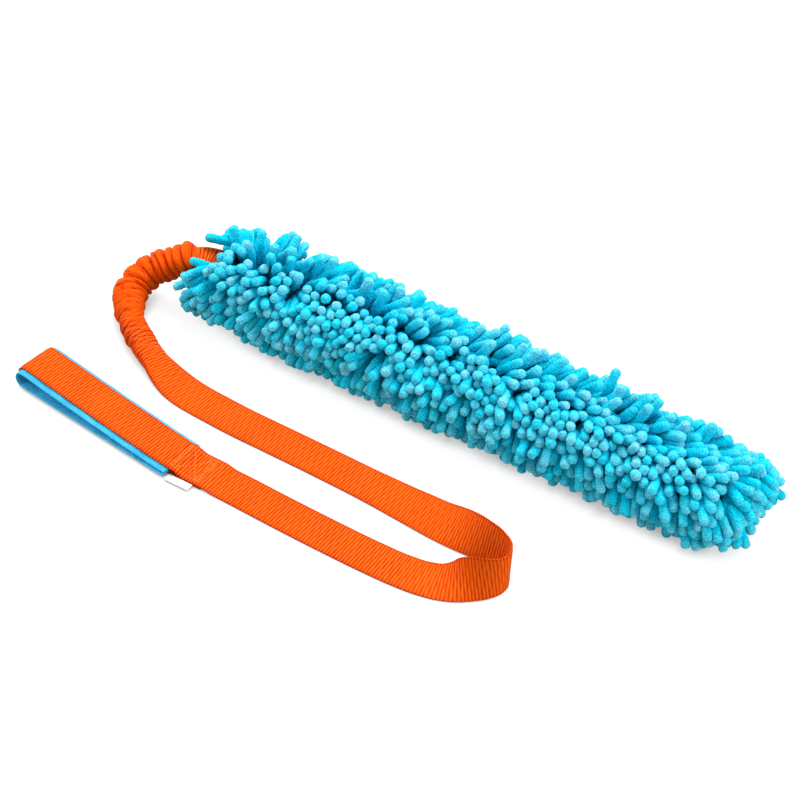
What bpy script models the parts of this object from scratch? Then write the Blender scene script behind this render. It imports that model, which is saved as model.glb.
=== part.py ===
"""Bungee tug toy: chenille mop, ruched bungee, webbing handle strap and padded hand loop.

Metres, +Z up, lying on z = 0. +X runs along the mop, from the bungee to the free end.
The origin is the middle of the whole toy's outline, on the surface that it lies on.
"""

import math
import random

import bmesh
import bpy
from mathutils import Vector

GAP = 0.0003  # clearance between pieces that touch
CENTRE = (-0.0046, -0.0025)  # the outline's middle in the frame that the routes below are given in

# Webbing of the strap, the loop and the mop's core
WEB_WIDTH = 0.038
WEB_THICK = 0.0022

# Mop: a flat core cloth with noodles all round it
MOP_NEAR_X = -0.243  # end of the core cloth at the bungee
MOP_Y = 0.080
MOP_CORE_LENGTH = 0.556
MOP_CORE_WIDTH = 0.060
MOP_CORE_HEIGHT = 0.024
NOODLE_LENGTH = 0.034
NOODLE_THICK = 0.0098
NOODLE_TIP = 0.8  # width of a noodle's tip, as a share of its own width
NOODLE_SPLAY = 0.024  # how far the outermost row leans out over the core's end
MOP_SLICES = 11
ROWS_PER_SLICE = 3
NOODLES_ROUND = 12
HEM_LENGTH = 0.005
HEM_HEIGHT = 0.011
CORE_TIP = 0.007  # how far the core webbing's fold shows past the hem

# Bungee: ruched sleeve over two elastic cords
SLEEVE_RADIUS = 0.0160
RUFFLE_DEPTH = 0.0036
SLEEVE_BORE = 0.0105
RUFFLES = 18
CORD_RADIUS = 0.0044
STUB_WIDTH = 0.026

# Sewn end of the strap, where the webbing is curled round the cords' ends
SEWN_WIDTH = 0.028
SEWN_HEIGHT = 0.029

# Hand loop
LOOP_LENGTH = 0.1905
LOOP_HEIGHT = 0.0190
LOOP_ANGLE = math.radians(173.8)
LINING_WIDTH = 0.0455
LINING_THICK = 0.0020
STITCHED_LENGTH = 0.038
LINING_RAMP = 0.012  # the strap comes down from the lining's height in this length
END_RAMP = 0.014  # and from its own sewn-down end's in this
STITCH_MARGIN = 0.0035
THREAD = 0.0010
THREAD_PROUD = 0.0004

# Label
LABEL_LENGTH = 0.026
LABEL_DEPTH = 0.0085
LABEL_THICK = 0.0007
LABEL_FROM_LOOP = 0.0045

MOP_Z = MOP_CORE_HEIGHT / 2 + NOODLE_LENGTH
MOP_FAR_X = MOP_NEAR_X + MOP_CORE_LENGTH
SLICE_LENGTH = MOP_CORE_LENGTH / MOP_SLICES
MID_SLICE = MOP_SLICES // 2
BEND_X = MOP_NEAR_X + SLICE_LENGTH * (MID_SLICE + 0.5)
CORE_SPLIT_X = MOP_NEAR_X + SLICE_LENGTH * MID_SLICE
CORE_THICK = 2 * WEB_THICK + GAP

# Near edge of the strap on the floor, from the hand loop to the bungee: x, y in mm and the bank in
# degrees, which lifts the far edge. 0 lies flat, 90 stands on edge and 180 lies flat, turned over.
STRAP_ROUTE = [
    (-145, -140.0, 0), (-79, -140.4, 0), (-28, -141.7, 0), (20, -142.3, 0),
    (68, -142.0, 0), (98, -140.8, 1), (122, -138.0, 4), (140, -133.5, 10), (155, -126.5, 25),
    (167, -117.0, 48), (177, -105.5, 70), (182, -94.0, 83), (181, -83.0, 91), (173, -76.0, 99),
    (160, -73.5, 109), (141, -74.0, 123), (120, -75.5, 141), (98, -75.5, 157), (67, -73.5, 168),
    (18, -70.3, 178), (-32, -69.0, 180), (-83, -68.7, 180), (-134, -68.5, 180), (-171, -66.8, 180),
]
TURN_FROM_X = 0.098  # the U-turn's own stretch starts and ends here
TURN_TO_X = 0.067

# Centre line of the strap's sewn end, from the flat strap to the sleeve, in mm
SEWN_ROUTE = [(-171, -47.8), (-190, -46.2), (-209, -42.9), (-230, -37.0), (-246, -31.2), (-262, -24.4), (-277, -16.6)]
SEWN_SHAPE = [0.0, 0.0, 0.06, 0.30, 0.56, 0.78, 0.92]  # from flat webbing to curled round

# Centre line of the bungee, from the stub to the sewn end, in mm, with its height
SLEEVE_ROUTE = [
    (-271, 71.5, 51.0), (-282, 66.5, 46.5), (-293, 61.5, 41.0), (-305, 56.5, 34.5), (-314, 49.0, 28.0),
    (-318.5, 39.0, 22.5), (-317.5, 25.5, 18.0), (-309.5, 11.0, 16.3), (-296.5, -3.2, 16.0),
]
STUB_ROUTE = [(8, 0, 0), (-1, 0, 0), (-7, -0.5, 1.2), (-13, -2.2, 2.8), (-18.5, -4.9, 4.1)]  # from the hem, in mm

ORANGE = (0.90, 0.145, 0.012)
DARK_ORANGE = (0.32, 0.05, 0.01)
BLUE = (0.012, 0.47, 0.66)
DEEP_BLUE = (0.005, 0.25, 0.36)
LINING_BLUE = (0.05, 0.36, 0.62)
BLACK = (0.02, 0.02, 0.022)
WHITE = (0.85, 0.85, 0.84)


def clear_scene():
    for obj in list(bpy.data.objects):
        bpy.data.objects.remove(obj, do_unlink=True)


def material(name, colour, roughness):
    mat = bpy.data.materials.new(name)
    mat.use_nodes = True
    shader = mat.node_tree.nodes["Principled BSDF"]
    shader.inputs["Base Color"].default_value = (*colour, 1)
    shader.inputs["Roughness"].default_value = roughness
    shader.inputs["Metallic"].default_value = 0.0
    mat.diffuse_color = (*colour, 1)
    return mat


def pivot(name, place, parent=None):
    """An empty on a joint's axis, which the moving pieces hang on."""
    empty = bpy.data.objects.new(name, None)
    bpy.context.collection.objects.link(empty)
    empty.empty_display_size = 0.02
    empty["place"] = place
    empty.parent = parent
    start = parent["place"] if parent else (*CENTRE, 0)
    empty.location = [a - b for a, b in zip(place, start)]
    return empty


def piece(name, points, faces, mat, body, smooth=None):
    """A closed mesh from world points, with its origin on its body's pivot."""
    place = Vector(body["place"])
    mesh = bpy.data.meshes.new(name)
    mesh.from_pydata([Vector(p) - place for p in points], [], faces)
    bm = bmesh.new()
    bm.from_mesh(mesh)
    bmesh.ops.recalc_face_normals(bm, faces=bm.faces)
    bm.to_mesh(mesh)
    bm.free()
    if smooth is not None:
        mesh.shade_smooth()
        mesh.set_sharp_from_angle(angle=math.radians(smooth))
    mesh.materials.append(mat)
    obj = bpy.data.objects.new(name, mesh)
    bpy.context.collection.objects.link(obj)
    obj.parent = body
    return obj


def slopes(points, gaps):
    """How fast each value changes along a line at each point, from its neighbours."""
    found = []
    for i in range(len(points)):
        before = [(b - a) / gaps[i - 1] for a, b in zip(points[i - 1], points[i])] if i else None
        after = [(b - a) / gaps[i] for a, b in zip(points[i], points[i + 1])] if i < len(gaps) else before
        before = before or after
        near = gaps[i - 1] if i else 1
        far = gaps[i] if i < len(gaps) else 1
        found.append([(p * far + q * near) / (near + far) for p, q in zip(before, after)])
    return found


def through(points, step):
    """Points about a step apart on a smooth curve through the given ones, of any dimension."""
    gaps = [math.dist(a[:2], b[:2]) for a, b in zip(points, points[1:])]
    rates = slopes(points, gaps)
    found = []
    for i, gap in enumerate(gaps):
        count = max(1, round(gap / step))
        for k in range(count):
            t = k / count
            ends = zip(points[i], points[i + 1], rates[i], rates[i + 1])
            found.append(tuple(
                (2 * t**3 - 3 * t**2 + 1) * p + (3 * t**2 - 2 * t**3) * q
                + gap * ((t**3 - 2 * t**2 + t) * m + (t**3 - t**2) * n)
                for p, q, m, n in ends
            ))
    found.append(tuple(points[-1]))
    return found


def tangents(points):
    """Unit direction at each point of a line."""
    last = len(points) - 1
    return [(points[min(i + 1, last)] - points[max(i - 1, 0)]).normalized() for i in range(last + 1)]


def outline(width, height, square, count=12):
    """Points round a section: square 0 is an ellipse, 1 a strip with slightly rounded edges."""
    power = 2 / (2 + 8 * square)
    points = []
    for i in range(count):
        a = 2 * math.pi * (i + 0.5) / count
        c, s = math.cos(a), math.sin(a)
        points.append((
            math.copysign(abs(c) ** power, c) * width / 2,
            math.copysign(abs(s) ** power, s) * height / 2,
        ))
    return points


def strip_outline(width, thick):
    """Ten points round a strip of webbing, its edges rounded off."""
    w, t, r = width / 2, thick / 2, thick * 0.3
    return [(w - r, t), (0, t), (r - w, t), (-w, t - r), (-w, r - t),
            (r - w, -t), (0, -t), (w - r, -t), (w, r - t), (w, t - r)]


def loft(stations):
    """Skin over rings of points, closed with a face at each end."""
    count = len(stations[0])
    points = [p for ring in stations for p in ring]
    faces = []
    for i in range(len(stations) - 1):
        for k in range(count):
            a, b = i * count + k, i * count + (k + 1) % count
            faces.append((a, b, b + count, a + count))
    faces.append(tuple(range(count)))
    faces.append(tuple(range(len(points) - count, len(points))))
    return points, faces


def section(centre, across, up, shape):
    return [centre + across * x + up * y for x, y in shape]


def strap_lift(distance):
    """How high the strap lies over its own sewn-down end and the lining, at a distance from the loop."""
    over_end = WEB_THICK + GAP
    over_lining = over_end + 2 * LINING_THICK + 2 * GAP
    first = ease(1 - distance / LINING_RAMP)
    second = ease(1 - (distance - STITCHED_LENGTH - GAP) / END_RAMP)
    return over_end * second + (over_lining - over_end) * first


def ease(share):
    share = min(max(share, 0), 1)
    return share * share * (3 - 2 * share)


def climb_stops():
    """Distances from the loop at which the strap's height changes."""
    step = STITCHED_LENGTH + GAP
    return [LINING_RAMP * k / 4 for k in range(5)] + [step + END_RAMP * k / 4 for k in range(5)]


def strap_height(distance):
    """Height of the strap's middle at a distance from the loop, straight between the stops."""
    stops = climb_stops()
    i = next((k for k in range(1, len(stops)) if stops[k] >= distance), len(stops) - 1)
    share = (distance - stops[i - 1]) / (stops[i] - stops[i - 1])
    lifts = [strap_lift(d) for d in stops[i - 1 : i + 1]]
    return WEB_THICK / 2 + lifts[0] + (lifts[1] - lifts[0]) * share


def strap_path():
    """Closely spaced points of the strap's near edge: x, y and bank."""
    route = [(x / 1000, y / 1000, math.radians(bank)) for x, y, bank in STRAP_ROUTE]
    (start, y, _), rest = route[0], route[1:]
    run = rest[0][0] - start
    path = [(start + d, y + (rest[0][1] - y) * d / run, 0.0) for d in climb_stops()]
    first = next(i for i, point in enumerate(rest) if point[0] > TURN_FROM_X - 0.001)
    last = next(i for i, point in enumerate(rest) if i > first and point[0] < TURN_TO_X + 0.001)
    path += through(rest[: first + 1], 0.012)[:-1]
    path += through(rest[first : last + 1], 0.0055)[:-1]
    path += through(rest[last:], 0.012)
    return path


def strap_stations(path):
    """(near edge, width direction, thickness direction) along the strap."""
    climbs = len(climb_stops())
    line = [Vector((x, y, strap_lift(x - path[0][0]) if i < climbs else 0)) for i, (x, y, _) in enumerate(path)]
    found = []
    for (_, _, bank), at, along in zip(path, line, tangents(line)):
        left = Vector((-along.y, along.x, 0)).normalized()
        across = left * math.cos(bank) + Vector((0, 0, math.sin(bank)))
        near = at + Vector((0, 0, abs(math.cos(bank)) * WEB_THICK / 2))
        found.append((near, across, along.cross(across)))
    return found


def make_strap(mats, upper, lower):
    """The two runs and the U-turn between them, and the curled end that is sewn to the bungee."""
    path = strap_path()
    tip = max(range(len(path)), key=lambda i: path[i][0])
    first = next(i for i in range(tip) if path[i][0] > TURN_FROM_X - 1e-6)
    last = next(i for i in range(tip, len(path)) if path[i][0] < TURN_TO_X + 1e-6)
    stations = strap_stations(path)
    low = stations[: first + 1]
    turn = stations[first : last + 1]
    low[-1] = moved(low[-1], -GAP / 2)
    turn[0] = moved(turn[0], GAP / 2)
    turn[-1] = moved(turn[-1], GAP / 2)
    shape = strip_outline(WEB_WIDTH, WEB_THICK)
    rings = strap_rings(low, shape)
    for p in rings[0]:
        p.x = path[0][0] + GAP / 2
    piece("strap_lower_run", *loft(rings), mats["orange"], lower, smooth=40)
    piece("strap_turn", *loft(strap_rings(turn, shape)), mats["orange"], upper, smooth=40)

    flat = stations[last:-1]
    flat[0] = moved(flat[0], -GAP / 2)
    rings = strap_rings(flat, outline(WEB_WIDTH, WEB_THICK, 1))
    piece("strap_upper_run", *loft(rings + sewn_rings()), mats["orange"], upper, smooth=40)


def moved(station, along_x):
    return (station[0] + Vector((along_x, 0, 0)), *station[1:])


def strap_rings(stations, shape):
    rings = [section(near + across * WEB_WIDTH / 2, across, up, shape) for near, across, up in stations]
    for p in (p for ring in rings for p in ring):
        p.z = max(p.z, 0)
    return rings


def sewn_rings():
    """Sections from the flat webbing to the round end, resting on the floor."""
    sleeve = [Vector((p.x, p.y, 0)) for p in sleeve_line(0.003)]
    way = (sleeve[-2] - sleeve[-1]).normalized()
    end = sleeve[-1] - way * GAP
    route = [(x / 1000, y / 1000, s) for (x, y), s in zip(SEWN_ROUTE, SEWN_SHAPE)]
    line = through([*route, (end.x, end.y, 1.0)], 0.009)
    flat = [Vector((x, y, 0)) for x, y, _ in line]
    ways = tangents(flat)
    ways[-1] = way
    rings = []
    for (_, _, share), at, along in zip(line, flat, ways):
        share = min(max(share, 0), 1)
        width = WEB_WIDTH + (SEWN_WIDTH - WEB_WIDTH) * min(1, share * 2)
        height = WEB_THICK + (SEWN_HEIGHT - WEB_THICK) * share
        across = Vector((along.y, -along.x, 0))
        centre = at + Vector((0, 0, height / 2))
        rings.append(section(centre, across, Vector((0, 0, -1)), outline(width, height, 1 - share**0.5)))
    return rings


def sleeve_line(step):
    return [Vector(p) for p in through([tuple(c / 1000 for c in p) for p in SLEEVE_ROUTE], step)]


def round_rings(line, radii, sides, squash=1.0):
    """Rings round a line, their first side level."""
    rings = []
    for at, along, radius in zip(line, tangents(line), radii):
        across = along.cross(Vector((0, 0, 1))).normalized()
        up = across.cross(along)
        rings.append([
            at + across * math.cos(a) * radius + up * math.sin(a) * radius * squash
            for a in (2 * math.pi * (k + 0.5) / sides for k in range(sides))
        ])
    return rings


def make_bungee(mats, body):
    """The ruched sleeve, wide gathers first and fine ones last, over two elastic cords."""
    line = sleeve_line(0.002)
    along = [0.0]
    for a, b in zip(line, line[1:]):
        along.append(along[-1] + (b - a).length)

    def at(distance):
        i = next((k for k in range(1, len(line)) if along[k] >= distance), len(line) - 1)
        share = (distance - along[i - 1]) / (along[i] - along[i - 1])
        return line[i - 1].lerp(line[i], min(max(share, 0), 1))

    places, radii = [], []
    for i in range(2 * RUFFLES + 1):
        share = i / (2 * RUFFLES)
        places.append(at(along[-1] * (1.35 * share - 0.35 * share**2)))
        deep = RUFFLE_DEPTH * (1 - 0.55 * share)
        ends = i in (0, 2 * RUFFLES)
        radii.append(SLEEVE_RADIUS - (deep if i % 2 == 0 or ends else 0))
    sides, bore_sides = 12, 8
    outer = round_rings(places, radii, sides)
    bore_line = places[::4] if places[::4][-1] == places[-1] else places[::4] + [places[-1]]
    inner = round_rings(bore_line, [SLEEVE_BORE] * len(bore_line), bore_sides)
    ends = (tangents(places)[0], tangents(places)[-1])
    points, faces = loft(outer)
    faces = faces[:-2]
    base = len(points)
    bore_points, bore_faces = loft(inner)
    points += bore_points
    faces += [tuple(base + k for k in reversed(face)) for face in bore_faces[:-2]]
    last_outer, last_inner = base - sides, len(points) - bore_sides
    faces += ring_cap(points, range(sides), range(base, base + bore_sides), ends[0])
    faces += ring_cap(points, range(last_outer, base), range(last_inner, len(points)), ends[1])
    piece("ruched_sleeve", points, faces, mats["orange"], body, smooth=75)

    cord_line = sleeve_line(0.009)
    for name, side in (("elastic_cord_a", 1), ("elastic_cord_b", -1)):
        offset = side * (CORD_RADIUS + GAP / 2)
        shifted = [
            p + t.cross(Vector((0, 0, 1))).normalized() * offset for p, t in zip(cord_line, tangents(cord_line))
        ]
        rings = round_rings(shifted, [CORD_RADIUS] * len(shifted), 8)
        piece(name, *loft(rings), mats["black"], body, smooth=60)


def ring_cap(points, outer, inner, axis):
    """Triangles between two rings of points in one plane, taken in order round the axis."""
    outer, inner = list(outer), list(inner)
    centre = sum((Vector(points[i]) for i in inner), Vector()) / len(inner)
    first = Vector(points[outer[0]]) - centre
    side = axis.cross(first).normalized()
    first = side.cross(axis).normalized()

    def angle(i):
        v = Vector(points[i]) - centre
        return math.atan2(v.dot(side), v.dot(first)) % (2 * math.pi)

    outer.sort(key=angle)
    inner.sort(key=angle)
    faces, i, j = [], 0, 0
    while i < len(outer) or j < len(inner):
        o, n = outer[i % len(outer)], inner[j % len(inner)]
        next_outer = angle(outer[(i + 1) % len(outer)]) + (2 * math.pi if i + 1 >= len(outer) else 0)
        next_inner = angle(inner[(j + 1) % len(inner)]) + (2 * math.pi if j + 1 >= len(inner) else 0)
        if j >= len(inner) or (i < len(outer) and next_outer <= next_inner):
            faces.append((o, outer[(i + 1) % len(outer)], n))
            i += 1
        else:
            faces.append((o, inner[(j + 1) % len(inner)], n))
            j += 1
    return faces


def oval(half_width, half_height, share):
    """A point on an oval, a share of the way round by angle, with its flat sides up and down."""
    a = 2 * math.pi * share
    c, s = math.cos(a), math.sin(a)
    return math.copysign(abs(c) ** 0.8, c) * half_width, math.copysign(abs(s) ** 0.8, s) * half_height


def even_oval(half_width, half_height, count, offset=0.0):
    """Points evenly spaced round an ellipse."""
    fine = [oval(half_width, half_height, k / 720) for k in range(721)]
    along = [0.0]
    for a, b in zip(fine, fine[1:]):
        along.append(along[-1] + math.dist(a, b))
    found = []
    for k in range(count):
        target = along[-1] * (((k + offset) / count) % 1)
        found.append(fine[next(i for i, s in enumerate(along) if s >= target)])
    return found


def noodle_tips(row, rows, shuffle):
    """Where one row's noodles end: (y, z) from the mop's axis and the lean along x."""
    stagger = 0.5 + (0.22 if row % 2 else -0.22)
    half_width = MOP_CORE_WIDTH / 2 + NOODLE_LENGTH
    half_height = MOP_CORE_HEIGHT / 2 + NOODLE_LENGTH
    tips = []
    for k in range(NOODLES_ROUND):
        share = stagger + shuffle.uniform(-0.07, 0.07)
        y, z = even_oval(half_width, half_height, NOODLES_ROUND, share)[k]
        from_near, from_far = row + 0.5, rows - row - 0.5
        reach = shuffle.uniform(0.93, 1.0) * (1 - 0.26 * math.exp(-min(from_near, from_far)))
        lean = NOODLE_SPLAY * (math.exp(-from_far / 2) - math.exp(-from_near / 2))
        tips.append((y * reach, z * (reach if z > 0 else 1), lean + shuffle.uniform(-0.0015, 0.0015)))
    return tips


def make_slice(index, mat, body, shuffle):
    """One slice of the chenille sleeve: a backing with a slot for the webbing, and its noodles."""
    rows = MOP_SLICES * ROWS_PER_SLICE
    low = MOP_NEAR_X + SLICE_LENGTH * index + GAP / 2
    high = low + SLICE_LENGTH - GAP
    pitch = (high - low) / ROWS_PER_SLICE
    base = even_oval(MOP_CORE_WIDTH / 2, MOP_CORE_HEIGHT / 2, NOODLES_ROUND)
    centre = Vector((0, MOP_Y, MOP_Z))
    bm = bmesh.new()
    rings = [
        [bm.verts.new(centre + Vector((low + pitch * r, y, z))) for y, z in base] for r in range(ROWS_PER_SLICE + 1)
    ]
    cells = []
    for r in range(ROWS_PER_SLICE):
        for k in range(NOODLES_ROUND):
            n = (k + 1) % NOODLES_ROUND
            cells.append((r, k, bm.faces.new((rings[r][k], rings[r][n], rings[r + 1][n], rings[r + 1][k]))))
    half_slot, half_slit = WEB_WIDTH / 2 + GAP, CORE_THICK / 2 + GAP
    slot = [(half_slot, -half_slit), (half_slot, half_slit), (-half_slot, half_slit), (-half_slot, -half_slit)]
    bores = [[bm.verts.new(centre + Vector((x, y, z))) for y, z in slot] for x in (low, high)]
    for k in range(4):
        n = (k + 1) % 4
        bm.faces.new((bores[0][k], bores[1][k], bores[1][n], bores[0][n]))
    bm.verts.index_update()
    bm.verts.ensure_lookup_table()
    places = [v.co.copy() for v in bm.verts]
    for ring, bore in ((rings[0], bores[0]), (rings[-1], bores[1])):
        for face in ring_cap(places, [v.index for v in ring], [v.index for v in bore], Vector((1, 0, 0))):
            bm.faces.new([bm.verts[i] for i in face])
    for r in range(ROWS_PER_SLICE):
        tips = noodle_tips(index * ROWS_PER_SLICE + r, rows, shuffle)
        for row, k, face in [c for c in cells if c[0] == r]:
            grow_noodle(bm, face, tips[k], centre)
    bmesh.ops.recalc_face_normals(bm, faces=bm.faces)
    points = [v.co.copy() for v in bm.verts]
    faces = [[v.index for v in f.verts] for f in bm.faces]
    bm.free()
    return piece(f"mop_sleeve_{index + 1:02d}", points, faces, mat, body)


def grow_noodle(bm, face, tip, centre):
    """Draws the noodle's square root in on its cell, then extrudes it to its tip."""
    middle = face.calc_center_median()
    corners = [v.co.copy() for v in face.verts]
    across = ((corners[1] + corners[2]) - (corners[0] + corners[3])).normalized()
    end = Vector((middle.x + tip[2], centre.y + tip[0], centre.z + tip[1]))
    half = NOODLE_THICK / 2
    ahead = Vector((1, 0, 0))
    root = [middle - ahead * half - across * half, middle - ahead * half + across * half,
            middle + ahead * half + across * half, middle + ahead * half - across * half]
    way = (end - middle).normalized()
    side = way.cross(ahead).normalized()
    if side.dot(across) < 0:
        side = -side
    front = side.cross(way).normalized()
    if front.dot(ahead) < 0:
        front = -front
    small = half * NOODLE_TIP
    top = [end - front * small - side * small, end - front * small + side * small,
           end + front * small + side * small, end + front * small - side * small]
    for p in top:
        p.z = max(p.z, 0.0) if p.z > 0.004 else 0.0
    inset = bmesh.ops.inset_individual(bm, faces=[face], thickness=0.001, use_even_offset=True)
    for v, place in zip(face.verts, sorted_like(face, root)):
        v.co = place
    grown = bmesh.ops.extrude_discrete_faces(bm, faces=[face])["faces"][0]
    for v, place in zip(grown.verts, sorted_like(grown, top, root)):
        v.co = place
    bm.verts.index_update()
    return inset


def sorted_like(face, places, near=None):
    """The place for each of the face's corners: the one whose partner lies nearest to it."""
    near = near or places
    found = []
    for v in face.verts:
        best = min(range(len(places)), key=lambda i: (near[i] - v.co).length)
        found.append(places[best])
    return found


def make_hem(name, outer_x, inner_x, mat, body):
    """A short cuff that closes the sleeve round the core webbing."""
    shape = outline(MOP_CORE_WIDTH * 0.8, HEM_HEIGHT, 0.3)
    half_slot, half_slit = WEB_WIDTH / 2 + GAP, CORE_THICK / 2 + GAP
    slot = [(half_slot, half_slit), (-half_slot, half_slit), (-half_slot, -half_slit), (half_slot, -half_slit)]
    points, faces = [], []
    for x in (inner_x, outer_x):
        points += [Vector((x, MOP_Y + y, MOP_Z + z)) for y, z in shape + slot]
    count = len(shape)
    step = count + 4
    for k in range(count):
        n = (k + 1) % count
        faces.append((k, n, n + step, k + step))
    for k in range(4):
        n = (k + 1) % 4
        faces.append((count + n, count + k, count + k + step, count + n + step))
    for base in (0, step):
        faces += ring_cap(points, range(base, base + count), range(base + count, base + step), Vector((1, 0, 0)))
    return piece(name, points, faces, mat, body, smooth=50)


def make_mop(mats, far_half, near_half):
    shuffle = random.Random(7)
    for i in range(MOP_SLICES):
        make_slice(i, mats["blue"], near_half if i < MID_SLICE else far_half, shuffle)
    make_hem("mop_hem_free_end", MOP_FAR_X + GAP + HEM_LENGTH, MOP_FAR_X + GAP, mats["deep_blue"], far_half)
    make_hem("mop_hem_bungee_end", MOP_NEAR_X - GAP - HEM_LENGTH, MOP_NEAR_X - GAP, mats["deep_blue"], near_half)

    # The core webbing is doubled, with its fold at the free end
    fold_x = MOP_FAR_X + GAP + HEM_LENGTH + CORE_TIP
    layer = WEB_THICK / 2 + GAP / 2
    turn = [(CORE_SPLIT_X + GAP / 2, layer), (fold_x - 0.004, layer), (fold_x - WEB_THICK / 2, layer * 0.6)]
    turn += [(x, -z) for x, z in reversed(turn)]
    shape = strip_outline(WEB_WIDTH, WEB_THICK)
    line = [Vector((x, MOP_Y, MOP_Z + z)) for x, z in turn]
    ways = [Vector((1, 0, 0)), Vector((1, 0, 0)), Vector((0.55, 0, -0.83)), Vector((-0.55, 0, -0.83)),
            Vector((-1, 0, 0)), Vector((-1, 0, 0))]
    across = Vector((0, 1, 0))
    rings = [section(p, across, way.cross(across), shape) for p, way in zip(line, ways)]
    piece("core_webbing_free_half", *loft(rings), mats["orange"], far_half, smooth=40)
    make_stub(mats, near_half, across)


def make_stub(mats, body, across):
    """The core webbing's other half, sewn double, and the stub that it leaves the mop as."""
    hem_x = MOP_NEAR_X - GAP - HEM_LENGTH
    start = Vector((CORE_SPLIT_X - GAP / 2, MOP_Y, MOP_Z))
    route = [tuple(start), (MOP_NEAR_X + 0.02, MOP_Y, MOP_Z)]
    route += [(hem_x + x / 1000, MOP_Y + y / 1000, MOP_Z + z / 1000) for x, y, z in STUB_ROUTE]
    sleeve = sleeve_line(0.009)
    way = (sleeve[1] - sleeve[0]).normalized()
    route.append(tuple(sleeve[0] - way * GAP))
    line = [Vector(route[0])] + [Vector(p) for p in through(route[1:], 0.006)]
    ways = tangents(line)
    ways[-1] = way
    rings = []
    for at, along in zip(line, ways):
        share = min(max((hem_x - at.x) / 0.020, 0), 1)
        level = Vector((along.x, along.y, 0)).normalized()
        side = Vector((-level.y, level.x, 0))
        width = WEB_WIDTH + (STUB_WIDTH - WEB_WIDTH) * share
        thick = CORE_THICK + 0.0012 * share
        rings.append(section(at, -side, along.cross(side), strip_outline(width, thick)))
    piece("core_webbing_bungee_half", *loft(rings), mats["orange"], body, smooth=40)

    # Zigzag bar tack on top of the stub
    tack = [i for i, p in enumerate(line) if hem_x - 0.017 <= p.x <= hem_x - 0.004]
    first, last = line[tack[0]], line[tack[-1]]
    along = (last - first).normalized()
    side = Vector((-along.y, along.x, 0)).normalized()
    up = along.cross(side)
    if up.z < 0:
        up = -up
    zigzag = []
    count = 9
    lift = up * (CORE_THICK / 2 + 0.0006 + GAP + THREAD_PROUD / 2 + 0.0004)
    for k in range(count):
        sway = STUB_WIDTH * 0.36 * (1 if k % 2 else -1)
        zigzag.append(first.lerp(last, k / (count - 1)) + side * sway + lift)
    rings = [
        section(p, t.cross(up).normalized(), up, [(THREAD, THREAD_PROUD), (-THREAD, THREAD_PROUD),
                                                  (-THREAD, -THREAD_PROUD / 2), (THREAD, -THREAD_PROUD / 2)])
        for p, t in zip(zigzag, tangents(zigzag))
    ]
    piece("stub_bar_tack", *loft(rings), mats["dark_orange"], body)


def loop_frame():
    """The loop's own directions: out from the stitching, across towards the camera's far side, and its start."""
    out = Vector((math.cos(LOOP_ANGLE), math.sin(LOOP_ANGLE), 0))
    across = Vector((out.y, -out.x, 0))
    if across.y < 0:
        across = -across
    x, near_y, _ = STRAP_ROUTE[0]
    return Vector((x / 1000, near_y / 1000 + WEB_WIDTH / 2, 0)), out, across


def loop_profile(inset, start, steps=8):
    """(out, up) points of the loop's middle line, set in from the webbing's own by a distance."""
    radius = (LOOP_HEIGHT - WEB_THICK) / 2
    top_start = strap_height(0)
    low, high = WEB_THICK / 2, LOOP_HEIGHT - WEB_THICK / 2
    centre = LOOP_LENGTH - WEB_THICK / 2 - radius
    tilt = math.atan2(high - top_start, centre)
    line = []
    for share in (0, 0.25, 0.5, 0.75, 1):
        u = start + (centre - start) * share
        line.append((u + math.sin(tilt) * inset, top_start + math.tan(tilt) * u - math.cos(tilt) * inset))
    for k in range(1, steps):
        a = math.pi / 2 - math.pi * k / steps
        line.append((centre + math.cos(a) * (radius - inset), low + radius + math.sin(a) * (radius - inset)))
    for share in (1, 0.75, 0.5, 0.25, 0):
        line.append((start + (centre - start) * share, low + inset))
    return line


def loop_strip(name, width, thick, inset, start, mat, body):
    """A strip round the loop, its two ends square to the strap that it meets."""
    origin, out, across = loop_frame()
    line = [origin + out * u + Vector((0, 0, z)) for u, z in loop_profile(inset, start)]
    shape = strip_outline(width, thick)
    rings = [section(p, across, t.cross(across).normalized(), shape) for p, t in zip(line, tangents(line))]
    for p in rings[0] + rings[-1]:
        p.x = origin.x - start
    return piece(name, *loft(rings), mat, body, smooth=40)


def make_loop(mats, body):
    loop_strip("loop_webbing", WEB_WIDTH, WEB_THICK, 0, GAP, mats["orange"], body)
    inset = WEB_THICK / 2 + LINING_THICK / 2 + GAP
    loop_strip("loop_lining", LINING_WIDTH, LINING_THICK, inset, 3 * GAP, mats["lining"], body)


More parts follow.
